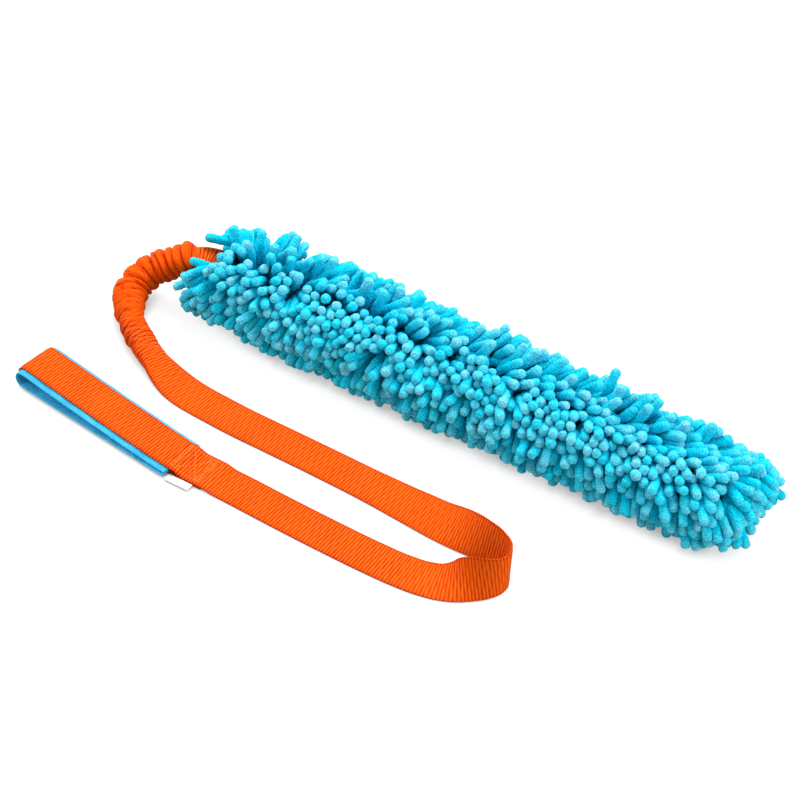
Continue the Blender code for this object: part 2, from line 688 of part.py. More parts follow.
def make_stitched_end(mats, body):
    """The webbing's end, sewn down under the strap, and the box of stitching that shows on top."""
    origin, _, _ = loop_frame()
    across = Vector((0, 1, 0))
    line = [origin + Vector((x, 0, WEB_THICK / 2)) for x in (GAP, STITCHED_LENGTH)]
    rings = [section(p, across, Vector((0, 0, 1)), strip_outline(WEB_WIDTH, WEB_THICK)) for p in line]
    piece("loop_sewn_end", *loft(rings), mats["orange"], body, smooth=40)

    low, high = LINING_RAMP / 4, STITCHED_LENGTH - STITCH_MARGIN
    half = WEB_WIDTH / 2 - STITCH_MARGIN
    columns = [low, low + THREAD, *[LINING_RAMP * k / 4 for k in (2, 3, 4)], high - THREAD, high]
    rows = [-half, THREAD - half, half - THREAD, half]
    cells = [(i, j) for i in range(len(columns) - 1) for j in range(3) if i in (0, len(columns) - 2) or j != 1]
    points, faces = [], []
    for proud in (GAP, GAP + THREAD_PROUD):
        for x in columns:
            slope = (strap_height(x - 1e-4) - strap_height(x + 1e-4)) / 2e-4
            rise = strap_height(x) + WEB_THICK / 2 * math.hypot(1, slope) + proud
            points += [origin + Vector((x, y, rise)) for y in rows]
    layer = len(columns) * len(rows)
    for i, j in cells:
        a, b = i * 4 + j, (i + 1) * 4 + j
        faces.append((a, a + 1, b + 1, b))
        faces.append((a + layer, b + layer, b + 1 + layer, a + 1 + layer))
        edges = {(i, j - 1): (a, b), (i, j + 1): (b + 1, a + 1), (i - 1, j): (a + 1, a), (i + 1, j): (b, b + 1)}
        for beside, (p, q) in edges.items():
            if beside not in cells:
                faces.append((p, q, q + layer, p + layer))
    piece("box_stitch", points, faces, mats["thread"], body)


def label_edge():
    """The seam that the label turns on: its start, and the strap's direction there."""
    x, near_y, _ = STRAP_ROUTE[0]
    return Vector((x / 1000 + LABEL_FROM_LOOP, near_y / 1000 - 2 * GAP, WEB_THICK + GAP))


def make_label(mats, body):
    """A folded tag that hangs out from the strap's near edge and droops to the floor."""
    seam = label_edge()
    profile = [(0.0, 0.0), (0.0035, -0.0002), (LABEL_DEPTH - 0.001, LABEL_THICK / 2 - seam.z),
               (LABEL_DEPTH, LABEL_THICK / 2 - seam.z)]
    half = LABEL_THICK / 2
    rings = []
    for depth, rise in profile:
        at = seam + Vector((0, -depth, rise))
        thin = half * (0.6 if depth == LABEL_DEPTH else 1)
        rings.append([at + Vector((x, 0, z)) for x, z in ((0, thin), (LABEL_LENGTH, thin), (LABEL_LENGTH, -thin), (0, -thin))])
    piece("label", *loft(rings), mats["white"], body)


def make_sewn_tack(mats, body):
    """Zigzag stitching across the curled end of the strap, lying on its rounded top."""
    rings = sewn_rings()
    first, last = len(rings) - 5, len(rings) - 2
    legs, steps = 6, 4
    line = []
    for leg in range(legs):
        for k in range(steps):
            sway = -1 + 2 * k / steps
            sway = sway if leg % 2 else -sway
            line.append(((leg + k / steps) / legs, sway))
    points = []
    for share, sway in line:
        at = first + (last - first) * share
        i = min(int(at), last - 1)
        ring = [a.lerp(b, at - i) for a, b in zip(rings[i], rings[i + 1])]
        tops = sorted(ring, key=lambda p: -p.z)[:6]
        middle = sum(ring, Vector()) / len(ring)
        side = (tops[0] - tops[1])
        side.z = 0
        side = side.normalized() * (1 if (tops[0] - tops[1]).y > 0 else -1)
        reach = sway * SEWN_WIDTH * 0.24
        tops.sort(key=lambda p: (p - middle).dot(side))
        offsets = [(p - middle).dot(side) for p in tops]
        j = next((n for n in range(1, len(tops)) if offsets[n] >= reach), len(tops) - 1)
        t = (reach - offsets[j - 1]) / (offsets[j] - offsets[j - 1])
        points.append(tops[j - 1].lerp(tops[j], t) + Vector((0, 0, 2 * GAP + 2 * THREAD_PROUD)))
    up = Vector((0, 0, 1))
    shape = [(THREAD / 2, THREAD_PROUD / 2), (-THREAD / 2, THREAD_PROUD / 2),
             (-THREAD / 2, -THREAD_PROUD / 2), (THREAD / 2, -THREAD_PROUD / 2)]
    rings = [section(p, t.cross(up).normalized(), up, shape) for p, t in zip(points, tangents(points))]
    piece("sewn_end_stitches", *loft(rings), mats["thread"], body)


def main():
    clear_scene()
    mats = {
        "orange": material("orange_webbing", ORANGE, 0.75),
        "dark_orange": material("dark_thread", DARK_ORANGE, 0.7),
        "thread": material("orange_thread", ORANGE, 0.6),
        "blue": material("blue_chenille", BLUE, 0.95),
        "deep_blue": material("blue_cloth", DEEP_BLUE, 0.9),
        "lining": material("blue_lining", LINING_BLUE, 0.8),
        "black": material("black_elastic", BLACK, 0.6),
        "white": material("white_label", WHITE, 0.6),
    }
    sleeve_start = [c / 1000 for c in SLEEVE_ROUTE[0]]
    sleeve_end = [c / 1000 for c in SLEEVE_ROUTE[-1]]
    far_half = pivot("mop_pivot", (BEND_X, MOP_Y, MOP_Z))
    near_half = pivot("mop_bend_pivot", (BEND_X, MOP_Y, MOP_Z), far_half)
    bungee = pivot("handle_swing_pivot", tuple(sleeve_start), near_half)
    upper = pivot("bungee_stretch_pivot", tuple(sleeve_end), bungee)
    lower = pivot("strap_turn_pivot", (0.150, -0.105, 0.0), upper)
    start, _, _ = loop_frame()
    hinge_height = strap_height(0) + WEB_THICK / 2
    loop = pivot("loop_lift_pivot", (start.x, start.y, hinge_height), lower)
    label = pivot("label_pivot", tuple(label_edge()), lower)

    make_mop(mats, far_half, near_half)
    make_bungee(mats, bungee)
    make_strap(mats, upper, lower)
    make_sewn_tack(mats, upper)
    make_stitched_end(mats, lower)
    make_loop(mats, loop)
    make_label(mats, label)


main()
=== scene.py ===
import itertools
import math

import bpy
import numpy as np
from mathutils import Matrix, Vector


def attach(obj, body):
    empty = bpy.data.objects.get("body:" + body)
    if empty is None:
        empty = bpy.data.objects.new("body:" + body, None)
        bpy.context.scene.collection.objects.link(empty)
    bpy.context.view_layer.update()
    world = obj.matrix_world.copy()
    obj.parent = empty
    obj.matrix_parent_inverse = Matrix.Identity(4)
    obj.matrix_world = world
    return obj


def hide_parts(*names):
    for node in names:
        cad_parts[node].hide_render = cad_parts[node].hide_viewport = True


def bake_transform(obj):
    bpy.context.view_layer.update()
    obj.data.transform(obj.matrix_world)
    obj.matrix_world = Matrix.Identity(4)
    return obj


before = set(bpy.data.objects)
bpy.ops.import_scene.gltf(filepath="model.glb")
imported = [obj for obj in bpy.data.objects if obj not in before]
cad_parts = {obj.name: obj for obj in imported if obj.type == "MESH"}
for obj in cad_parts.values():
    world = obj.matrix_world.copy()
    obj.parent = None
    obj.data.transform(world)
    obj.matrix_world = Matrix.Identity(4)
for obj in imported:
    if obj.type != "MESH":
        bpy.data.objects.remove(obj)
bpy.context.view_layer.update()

CENTRE = np.array([-0.0046, -0.0025, 0.0])  # the routes below are given in the part's drawing frame
UP = np.array([0, 0, 1.0])
STEP = 0.002  # between the points of a smooth route
GAP = 0.0003
WEB_WIDTH, WEB_THICK = 0.038, 0.0022
RIB_PITCH, RIB_RELIEF = 0.00305, 0.00036  # from one cross rib of the webbing to the next, and its height
STEPS_PER_RIB = 7
ACROSS_POINTS, EDGE_POINTS = 15, 4  # of a webbing's section
THREAD_LIFT = 0.00034  # how far a stitch's middle lies above the webbing

MOP_NEAR_X, MOP_LENGTH, MOP_Y, MOP_Z = -0.243, 0.556, 0.080, 0.046
MOP_CORE_WIDTH, MOP_CORE_HEIGHT = 0.060, 0.024
MOP_MIDDLE = np.array([MOP_Y, MOP_Z])
MOP_CORE_HALF = np.array([MOP_CORE_WIDTH, MOP_CORE_HEIGHT]) / 2
MOP_FAR_X = MOP_NEAR_X + MOP_LENGTH
HEM_LENGTH = 0.005
CORE_POWER = 0.8  # how boxy its section is, 1 for an oval
TIP_X = MOP_FAR_X + 0.0123  # the core webbing's folded tip
SLICES = 11
SLICE_LENGTH = MOP_LENGTH / SLICES
MIDDLE_SLICE = 6
CORE_SPLIT_X = MOP_NEAR_X + SLICE_LENGTH * (MIDDLE_SLICE - 1)
CORE_THICK = 2 * WEB_THICK + GAP
HEM_X = MOP_NEAR_X - GAP - HEM_LENGTH  # the face of the hem that the stub comes out of
STUB_WIDTH = 0.0275
NOODLE_LENGTH, NOODLE_RADIUS = 0.0370, 0.0044
LINKS = 6  # joints of a noodle's chain, its root first
SIGHT = np.array([0.42, -0.61, 0.67])  # from the toy towards whoever looks at it

random = np.random.RandomState(4)


def linear(r, g, b):
    """A colour given in 0-255 display values, as the shader wants it."""
    return tuple(((c / 255 + 0.055) / 1.055) ** 2.4 if c > 10 else c / 255 / 12.92 for c in (r, g, b))


def new_material(name, roughness, sheen=0.0, sheen_tint=(1, 1, 1), sheen_roughness=0.5, specular=0.3):
    mat = bpy.data.materials.new(name)
    mat.use_nodes = True
    shader = mat.node_tree.nodes["Principled BSDF"]
    for key, value in (
        ("Roughness", roughness), ("Specular IOR Level", specular), ("Sheen Weight", sheen),
        ("Sheen Roughness", sheen_roughness), ("Sheen Tint", (*sheen_tint, 1)),
    ):
        shader.inputs[key].default_value = value
    return mat, mat.node_tree, shader


def node(tree, kind, inputs=None, **settings):
    """A node with its settings, and with each input linked to a socket or set to a value."""
    made = tree.nodes.new("ShaderNode" + kind)
    for key, value in settings.items():
        setattr(made, key, value)
    for key, value in (inputs or {}).items():
        if isinstance(value, bpy.types.NodeSocket):
            tree.links.new(value, made.inputs[key])
        else:
            made.inputs[key].default_value = value
    return made


def paint(tree, shader, factor, stops):
    """Colours the surface by a factor, through stops of (place, linear colour)."""
    made = node(tree, "ValToRGB", {"Fac": factor})
    elements = made.color_ramp.elements
    while len(elements) < len(stops):
        elements.new(0.5)
    for element, (place, colour) in zip(elements, stops):
        element.position = place
        element.color = (*colour, 1)
    tree.links.new(made.outputs["Color"], shader.inputs["Base Color"])


def math_node(tree, operation, a, b, clamp=False):
    return node(tree, "Math", {0: a, 1: b}, operation=operation, use_clamp=clamp).outputs[0]


def add(tree, a, b, clamp=False):
    return math_node(tree, "ADD", a, b, clamp)


def minus(tree, a, b, clamp=False):
    return math_node(tree, "SUBTRACT", a, b, clamp)


def times(tree, a, b):
    return math_node(tree, "MULTIPLY", a, b)


def attribute(tree, name):
    return node(tree, "Attribute", attribute_name=name).outputs["Fac"]


def noise(tree, vector, scale, detail=2.0, roughness=0.5):
    inputs = {"Vector": vector, "Scale": scale, "Detail": detail, "Roughness": roughness}
    return node(tree, "TexNoise", inputs).outputs["Fac"]


def wave(tree, vector, scale, distortion, direction, detail=2.0, detail_scale=1.0):
    """Bands across one direction, made wavy by the distortion."""
    inputs = {"Vector": vector, "Scale": scale, "Distortion": distortion, "Detail": detail}
    inputs["Detail Scale"] = detail_scale
    return node(tree, "TexWave", inputs, bands_direction=direction).outputs["Fac"]


def object_space(tree):
    return node(tree, "TexCoord").outputs["Object"]


def bumps(tree, shader, *layers):
    """Fine relief: each layer is (height, distance, strength), laid over the one before."""
    inputs = {}
    for height, distance, strength in layers:
        inputs.update({"Height": height, "Distance": distance, "Strength": strength})
        inputs["Normal"] = node(tree, "Bump", inputs).outputs["Normal"]
    tree.links.new(inputs["Normal"], shader.inputs["Normal"])


def chenille_material():
    """Looped microfibre pile: pale nubs standing on a deeper ground, paler still at the noodles' ends; these
    are painted highlights and painted shade.
    """
    mat, tree, shader = new_material("blue_chenille", 0.95, 0.12, linear(110, 215, 240), 0.5, 0.05)
    shader.inputs["Subsurface Weight"].default_value = 0.35
    shader.inputs["Subsurface Radius"].default_value = (0.2, 0.8, 1.0)
    shader.inputs["Subsurface Scale"].default_value = 0.003
    rest = node(tree, "Attribute", attribute_name="rest").outputs["Vector"]
    cells = {"Vector": rest, "Scale": 440.0, "Randomness": 0.8}
    nub = node(tree, "TexVoronoi", cells, feature="F1")
    # painted highlight and shade: each nub's top is painted paler and the gaps between nubs darker, by the
    # same heights as its bumps
    high = minus(tree, 1.0, times(tree, nub.outputs["Distance"], 1.25), clamp=True)
    fuzz = noise(tree, rest, 1500.0, 3.0, 0.7)
    rows = wave(tree, rest, 130.0, 3.0, "Z", 2.0, 3.0)
    # the high and tip terms are painted light: paler nub tops and noodle ends, darker gaps and roots
    # each pattern's value, its middle, and its share in how light the pile is
    terms = (
        (high, 0.5, 0.38), (rows, 0.5, 0.14), (attribute(tree, "tip"), 0.45, 0.54), (fuzz, 0.5, 0.22),
        (attribute(tree, "shade"), 0.5, 0.34),
    )
    tone = 0.50
    for value, middle, weight in terms:
        tone = add(tree, times(tree, minus(tree, value, middle), weight), tone)
    paint(tree, shader, add(tree, tone, 0.0, clamp=True), [
        (0.0, linear(0, 146, 186)), (0.25, linear(0, 190, 221)), (0.50, linear(0, 203, 229)),
        (0.75, linear(78, 203, 227)), (1.0, linear(136, 210, 230)),
    ])
    bumps(tree, shader, (high, 0.0012, 0.8), (rows, 0.0004, 0.5), (fuzz, 0.0006, 0.7))
    return mat


def webbing_material(name="orange_webbing", crest=(228, 99, 14), ground=(216, 66, 0), groove=(140, 18, 0)):
    """Nylon webbing: bright cross ribs over darker grooves, with the yarns' twist; the crests' brightness
    and the grooves' darkness are painted highlight and painted shade.
    """
    mat, tree, shader = new_material(name, 0.62, 0.03, linear(255, 130, 40), 0.4, 0.05)
    place = {"X": attribute(tree, "along"), "Y": attribute(tree, "across")}
    place = node(tree, "CombineXYZ", place).outputs["Vector"]
    fine = {"Vector": place, "Scale": (1900.0, 620.0, 1.0)}
    yarn = noise(tree, node(tree, "Mapping", fine).outputs["Vector"], 1.0, 2.0, 0.6)
    twist = wave(tree, place, 330.0, 1.6, "DIAGONAL", 1.0, 1.5)
    fade = noise(tree, object_space(tree), 26.0, 2.0)
    tone = add(tree, attribute(tree, "rib"), times(tree, minus(tree, yarn, 0.5), 0.36))
    tone = add(tree, tone, times(tree, minus(tree, fade, 0.5), 0.22), clamp=True)
    # painted shade and highlight: the rib value darkens the grooves and lights the crests
    paint(tree, shader, tone, [(0.08, linear(*groove)), (0.52, linear(*ground)), (0.98, linear(*crest))])
    rough = node(tree, "MapRange", {"Value": yarn, "To Min": 0.52, "To Max": 0.74})
    tree.links.new(rough.outputs["Result"], shader.inputs["Roughness"])
    bumps(tree, shader, (twist, 0.00016, 0.7), (yarn, 0.00014, 0.7))
    return mat


def thread_material(name, bright, dark):
    """Twisted sewing thread."""
    mat, tree, shader = new_material(name, 0.5, 0.1)
    space = object_space(tree)
    ply = wave(tree, space, 900.0, 1.0, "DIAGONAL")
    tone = add(tree, times(tree, ply, 0.5), noise(tree, space, 600.0))
    paint(tree, shader, tone, [(0.2, linear(*dark)), (0.85, linear(*bright))])
    bumps(tree, shader, (ply, 0.00012, 0.8))
    return mat


def fleece_material():
    """Soft brushed lining of the hand loop."""
    mat, tree, shader = new_material("blue_lining", 0.85, 0.2, linear(150, 215, 250), 0.5)
    space = object_space(tree)
    pile = noise(tree, space, 900.0, 4.0, 0.7)
    tone = add(tree, times(tree, pile, 0.6), times(tree, noise(tree, space, 60.0), 0.4))
    paint(tree, shader, tone, [
        (0.30, linear(8, 130, 184)), (0.50, linear(48, 172, 218)), (0.70, linear(98, 186, 230)),
    ])
    bumps(tree, shader, (pile, 0.0005, 0.8))
    return mat


def cloth_material():
    """The mop's backing cloth: a plain weave, deep in the pile."""
    mat, tree, shader = new_material("blue_cloth", 0.9, 0.2, linear(90, 190, 220), 0.5)
    space = object_space(tree)
    weave = times(tree, wave(tree, space, 420.0, 0.6, "X"), wave(tree, space, 420.0, 0.6, "Y"))
    paint(tree, shader, weave, [(0.0, linear(0, 74, 100)), (1.0, linear(8, 132, 164))])
    bumps(tree, shader, (weave, 0.0003, 0.8))
    return mat


def elastic_material():
    """Braided cover of the elastic cords."""
    mat, tree, shader = new_material("black_elastic", 0.6)
    braid = wave(tree, object_space(tree), 300.0, 2.0, "DIAGONAL")
    paint(tree, shader, braid, [(0.0, (0.008, 0.008, 0.009)), (1.0, (0.05, 0.05, 0.055))])
    bumps(tree, shader, (braid, 0.0004, 0.8))
    return mat


def label_material():
    """Blank woven satin tape."""
    mat, tree, shader = new_material("white_label", 0.55, 0.1)
    space = object_space(tree)
    weave = wave(tree, space, 900.0, 0.8, "X")
    tone = add(tree, times(tree, weave, 0.4), times(tree, noise(tree, space, 120.0), 0.6))
    paint(tree, shader, tone, [(0.2, linear(224, 224, 228)), (0.8, linear(244, 244, 246))])
    bumps(tree, shader, (weave, 0.00008, 0.7))
    return mat


SLEEVE_COLOURS = (236, 94, 8), (222, 62, 0), (150, 18, 0)
# Each material, and the name of the part's own material that it stands for
MATERIALS = {
    "chenille": (chenille_material(), "blue_chenille"),
    "webbing": (webbing_material(), "orange_webbing"),
    "sleeve": (webbing_material("orange_sleeve", *SLEEVE_COLOURS), "orange_webbing"),
    "thread": (thread_material("orange_thread", (255, 136, 36), (244, 98, 8)), "orange_thread"),
    "dark_thread": (thread_material("dark_thread", (104, 46, 18), (48, 22, 10)), "dark_thread"),
    "fleece": (fleece_material(), "blue_lining"),
    "cloth": (cloth_material(), "blue_cloth"),
    "elastic": (elastic_material(), "black_elastic"),
    "label": (label_material(), "white_label"),
}


def new_object(name, data):
    obj = bpy.data.objects.new(name, data)
    bpy.context.scene.collection.objects.link(obj)
    return obj


def mesh_piece(name, points, faces, materials, values=None, marks=None):
    """A mesh from points in the drawing frame, and from its quads, then its triangles if it has any.

    values holds point attributes by name, and marks says which of the materials each face has.
    """
    points = np.reshape(points, (-1, 3)) - CENTRE
    faces = [np.asarray(found, np.int64).reshape(-1, size) for found, size in zip(faces, (4, 3))]
    corners = np.concatenate([found.ravel() for found in faces])
    totals = np.concatenate([np.full(len(found), found.shape[1]) for found in faces])
    mesh = bpy.data.meshes.new(name)
    mesh.vertices.add(len(points))
    mesh.loops.add(len(corners))
    mesh.polygons.add(len(totals))
    mesh.vertices.foreach_set("co", points.astype(np.float32).ravel())
    mesh.loops.foreach_set("vertex_index", corners.astype(np.int32))
    mesh.polygons.foreach_set("loop_start", (np.cumsum(totals) - totals).astype(np.int32))
    mesh.polygons.foreach_set("loop_total", totals.astype(np.int32))
    mesh.polygons.foreach_set("use_smooth", np.full(len(totals), True))
    for key in materials:
        mesh.materials.append(MATERIALS[key][0])
    if marks is not None:
        mesh.polygons.foreach_set("material_index", np.asarray(marks, np.int32))
    mesh.update(calc_edges=True)
    mesh.validate()
    for key, value in (values or {}).items():
        value = np.asarray(value, np.float32)
        kind, part = ("FLOAT", "value") if value.ndim == 1 else ("FLOAT_VECTOR", "vector")
        mesh.attributes.new(key, kind, "POINT").data.foreach_set(part, value.ravel())
    obj = new_object(name, mesh)
    return obj


def tube_faces(rings, sides):
    """Quads over rings of points, and fans of triangles over the two ends."""
    ring, k = np.meshgrid(np.arange(rings - 1) * sides, np.arange(sides), indexing="ij")
    n = (k + 1) % sides
    quads = np.stack([ring + k, ring + n, ring + sides + n, ring + sides + k], -1).reshape(-1, 4)
    k = np.arange(1, sides - 1)
    fans = [np.stack([0 * k, k + 1, k], -1), (rings - 1) * sides + np.stack([0 * k, k, k + 1], -1)]
    return quads, np.concatenate(fans)


def turned_over(faces):
    return [found[:, ::-1] for found in faces]


def round_angles(sides):
    return 2 * math.pi * np.arange(sides) / sides


def zigzag(count):
    """0 and 1 by turns."""
    return np.arange(count) % 2


def ease(share):
    share = np.clip(share, 0, 1)
    return share * share * (3 - 2 * share)


def on_floor(x, y):
    return np.column_stack([x, y, np.zeros(len(x))])


def swept(line, across, up, x, z):
    """A section's x and z at each point of a line, along its two directions."""
    return line[..., None, :] + across[..., None, :] * x[..., None] + up[..., None, :] * z[..., None]


def boxy(part, power):
    """A cosine or sine bent so that a circle turns into a rounded box."""
    return np.sign(part) * np.abs(part) ** power


def unit(v):
    return v / np.maximum(np.linalg.norm(v, axis=-1, keepdims=True), 1e-12)


def directions(line):
    last = len(line) - 1
    i = np.arange(last + 1)
    return unit(line[np.minimum(i + 1, last)] - line[np.maximum(i - 1, 0)])


def slopes(points, gaps):
    """How fast each value changes along a line at each point, from its neighbours."""
    steps = np.diff(points, axis=0) / gaps[:, None]
    rates = np.empty_like(points)
    rates[0], rates[-1] = steps[0], steps[-1]
    near, far = gaps[:-1, None], gaps[1:, None]
    rates[1:-1] = (steps[:-1] * far + steps[1:] * near) / (near + far)
    return rates


def through(points):
    """Points about a step apart on a smooth curve through the given ones, of any dimension."""
    points = np.asarray(points, float)
    gaps = np.linalg.norm(np.diff(points[:, :2], axis=0), axis=1)
    rates = slopes(points, gaps)
    found = []
    for i, gap in enumerate(gaps):
        count = max(1, round(gap / STEP))
        t = np.arange(count)[:, None] / count
        found.append(
            (2 * t**3 - 3 * t**2 + 1) * points[i] + (3 * t**2 - 2 * t**3) * points[i + 1]
            + gap * ((t**3 - 2 * t**2 + t) * rates[i] + (t**3 - t**2) * rates[i + 1])
        )
    return np.concatenate([*found, points[-1:]])


def arc(line):
    """Distance along a line at each of its points."""
    return np.concatenate([[0], np.cumsum(np.linalg.norm(np.diff(line, axis=0), axis=1))])


def resampled(values, distances, wanted):
    return np.stack([np.interp(wanted, distances, column) for column in np.asarray(values).T], -1)


def ribs(distance):
    """0 in the groove between two cross ribs, 1 on a rib's crest."""
    return np.abs(np.sin(math.pi * distance / RIB_PITCH)) ** 0.75


def strip_ring(count_across=ACROSS_POINTS, edge=EDGE_POINTS):
    """A webbing's section as shares: (across -1..1, side +1 top or -1 under, edge roundness 0..1)."""
    across = np.linspace(1, -1, count_across)
    turn = np.linspace(0, math.pi, edge + 2)[1:-1]
    x = np.concatenate([across, np.full(edge, -1.0), -across, np.full(edge, 1.0)])
    z = np.concatenate([np.ones(count_across), np.cos(turn), -np.ones(count_across), -np.cos(turn)])
    bulge = np.concatenate([np.zeros(count_across), -np.sin(turn), np.zeros(count_across), np.sin(turn)])
    return x, z, bulge


def round_ring():
    """The same points spread round a circle."""
    total = 2 * (ACROSS_POINTS + EDGE_POINTS)
    angles = math.pi / 2 - math.pi * (ACROSS_POINTS - 1) / total + round_angles(total)
    return np.cos(angles), np.sin(angles)


def webbing(
    name, centre, across, up, width=WEB_WIDTH, height=WEB_THICK, curl=0.0, ruck=0.0, body=None, start=0.0
):
    """Ribbed webbing lofted along a line. curl 0 is flat, 1 is rolled into a round; ruck wrinkles it."""
    distance = arc(centre)
    wanted = np.arange(0, distance[-1], RIB_PITCH / STEPS_PER_RIB)
    wanted = np.append(wanted[:-1] if distance[-1] - wanted[-1] < RIB_PITCH / 20 else wanted, distance[-1])
    centre, across, up = (
        resampled(np.broadcast_to(value, centre.shape), distance, wanted) for value in (centre, across, up)
    )
    across, up = unit(across), unit(up)
    width, height, curl, ruck = (
        np.interp(wanted, distance, np.broadcast_to(value, distance.shape))[:, None]
        for value in (width, height, curl, ruck)
    )
    flat_x, flat_z, bulge = strip_ring()
    round_x, round_z = round_ring()
    sides = len(flat_x)
    face = np.abs(flat_z) > 0.99  # the points on its two faces, not on its edges
    k = np.sqrt(np.clip(curl, 0, 1))
    # where the webbing is rolled up, its edges meet along the top and their ribs lag behind
    seam = (1 - np.abs(flat_x)) * (flat_z < -0.5)
    rib_shift = 0.0065 * curl**1.5 * seam**2
    swell = 0
    if ruck.any():
        place, round_share = wanted[:, None] + np.zeros(sides), np.arange(sides) / sides + 0 * curl
        sway = smooth_noise(place / 0.010, round_share, 41, 6)
        swell = 0.0013 * ruck * smooth_noise(place / 0.007, round_share, 43, 4)
        fold = wanted[:, None] / 0.0058 + 0.8 * sway
        ruck = ruck * (1 - np.abs(np.sin(math.pi * fold)) ** 0.8) * (0.6 + 0.5 * sway)
        rib_shift = rib_shift + 0.0016 * sway * curl
    rib = ribs(wanted[:, None] + start + rib_shift)
    uneven = 1 + 0.25 * np.sin(wanted * 913.0)[:, None] * np.sin(7 * flat_x)
    half = width / 2 - height * 0.3 * (1 - k)
    lift = RIB_RELIEF * (rib * uneven - 0.55)
    x_flat = flat_x * half + bulge * (width / 2 - half) + bulge * RIB_RELIEF * 1.4 * (rib - 0.5)
    rim = ease((np.abs(flat_x) - 0.84) / 0.16) * face
    z_flat = flat_z * (height / 2 + lift * face - 0.0005 * rim)
    grown = lift + swell - 0.0016 * ruck
    z_round = round_z * (height / 2 + grown) * (1 - 0.09 * np.exp(-(((1 - seam) / 0.10) ** 2)))
    x = x_flat * (1 - k) + round_x * (width / 2 + grown) * k
    z = z_flat * (1 - k) + z_round * k
    points = swept(centre, across, up, x, z)
    points[..., 2] = np.maximum(points[..., 2], 0.0)
    # painted shade: the rib value, and so the colour, is darker in the grooves, in the wrinkles' valleys and
    # on the edges
    values = {
        "along": np.repeat(wanted + start, sides), "across": np.tile(flat_x * WEB_WIDTH / 2, len(wanted)),
        "rib": (np.clip(rib * uneven - 0.7 * ruck, 0, 1) * np.where(face, 1 - 0.3 * rim, 0.7)).ravel(),
    }
    obj = mesh_piece(name, points, tube_faces(len(wanted), sides), ["webbing"], values)
    if body:
        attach(obj, body)
    return obj


# Places in millimetres, and how far the webbing's width leans up from the floor, in degrees
STRAP_ROUTE = [
    (-145, -140.0, 0), (-79, -140.4, 0), (-28, -141.7, 0), (20, -142.3, 0),
    (68, -142.0, 0), (98, -140.8, 1), (122, -138.0, 4), (140, -133.5, 10), (155, -126.5, 25),
    (167, -117.0, 48), (177, -105.5, 70), (182, -94.0, 83), (181, -83.0, 91), (173, -76.0, 99),
    (160, -73.5, 109), (141, -74.0, 123), (120, -75.5, 141), (98, -75.5, 157), (67, -73.5, 168),
    (18, -70.3, 178), (-32, -69.0, 180), (-83, -68.7, 180), (-134, -68.5, 180), (-171, -66.8, 180),
]
TURN_FROM_X, TURN_TO_X = 0.098, 0.067
# Places in millimetres, and how far the strap's end is curled round the elastic cords there
SEWN_ROUTE = [
    (-171, -47.8, 0.0), (-190, -46.2, 0.0), (-209, -42.9, 0.06), (-230, -37.0, 0.30),
    (-246, -31.2, 0.56), (-262, -24.4, 0.78), (-277, -16.6, 0.92),
]
SEWN_WIDTH, SEWN_HEIGHT = 0.0255, 0.027
SLEEVE_ROUTE = np.array([
    (-271, 71.5, 51.0), (-282, 66.5, 46.5), (-293, 61.5, 41.0), (-305, 56.5, 34.5), (-314, 49.0, 28.0),
    (-318.5, 39.0, 22.5), (-317.5, 25.5, 18.0), (-309.5, 11.0, 16.3), (-296.5, -3.2, 16.0),
]) / 1000
SLEEVE_RADIUS = 0.0160
TUCKED_IN = 0.004  # how far the stub and the strap's end run into the sleeve
CORD_RADIUS, CORD_START, CORD_END = 0.0044, 0.016, 0.009  # in from the sleeve's ends, clear of the stub
STITCHED_LENGTH, LINING_RAMP, END_RAMP = 0.038, 0.016, 0.014
LINING_TUCK = 0.004  # how far the lining runs in under the strap
LOOP_LENGTH, LOOP_HEIGHT, LOOP_ANGLE = 0.1905, 0.0210, math.radians(173.8)
LINING_WIDTH, LINING_THICK = 0.0455, 0.0020
STRAP_EDGE_Y = STRAP_ROUTE[0][1] / 1000
STRAP_START = np.array([STRAP_ROUTE[0][0] / 1000, STRAP_EDGE_Y + WEB_WIDTH / 2, 0.0])


def strap_lift(distance):
    """How high the strap lies over its own sewn-down end and the lining, at a distance from the loop."""
    over_end, over_lining = WEB_THICK + GAP, 2 * LINING_THICK + 2 * GAP
    lift = over_end * ease(1 - (distance - STITCHED_LENGTH - GAP) / END_RAMP)
    return lift + over_lining * ease(1 - (distance - LINING_TUCK) / LINING_RAMP)


def strap_line():
    """Centre, width direction and thickness direction of the whole strap, loop end first, and its path."""
    route = np.array(STRAP_ROUTE, float)
    path = through(np.column_stack([route[:, :2] / 1000, np.radians(route[:, 2])]))
    flat = on_floor(path[:, 0], path[:, 1])
    distance = arc(flat)
    flat[:, 2] = np.where(distance < 0.1, strap_lift(path[:, 0] - path[0, 0]), 0)
    along = directions(flat)
    left = unit(on_floor(-along[:, 1], along[:, 0]))
    bank = path[:, 2:3]
    across = left * np.cos(bank) + UP * np.sin(bank)
    near = flat + UP * np.abs(np.cos(bank)) * WEB_THICK / 2
    return near + across * WEB_WIDTH / 2, across, np.cross(along, across), path


def sewn_end(*beyond):
    """The strap's curled end: its line on the floor, its side, and its curl, width and height."""
    route = through([*((x / 1000, y / 1000, curl) for x, y, curl in SEWN_ROUTE), *beyond])
    curl = np.clip(route[:, 2], 0, 1)
    width = WEB_WIDTH + (SEWN_WIDTH - WEB_WIDTH) * np.minimum(1, curl * 2)
    height = WEB_THICK + (SEWN_HEIGHT - WEB_THICK) * curl
    flat = on_floor(route[:, 0], route[:, 1])
    along = directions(flat)
    return flat, on_floor(along[:, 1], -along[:, 0]), curl, width, height


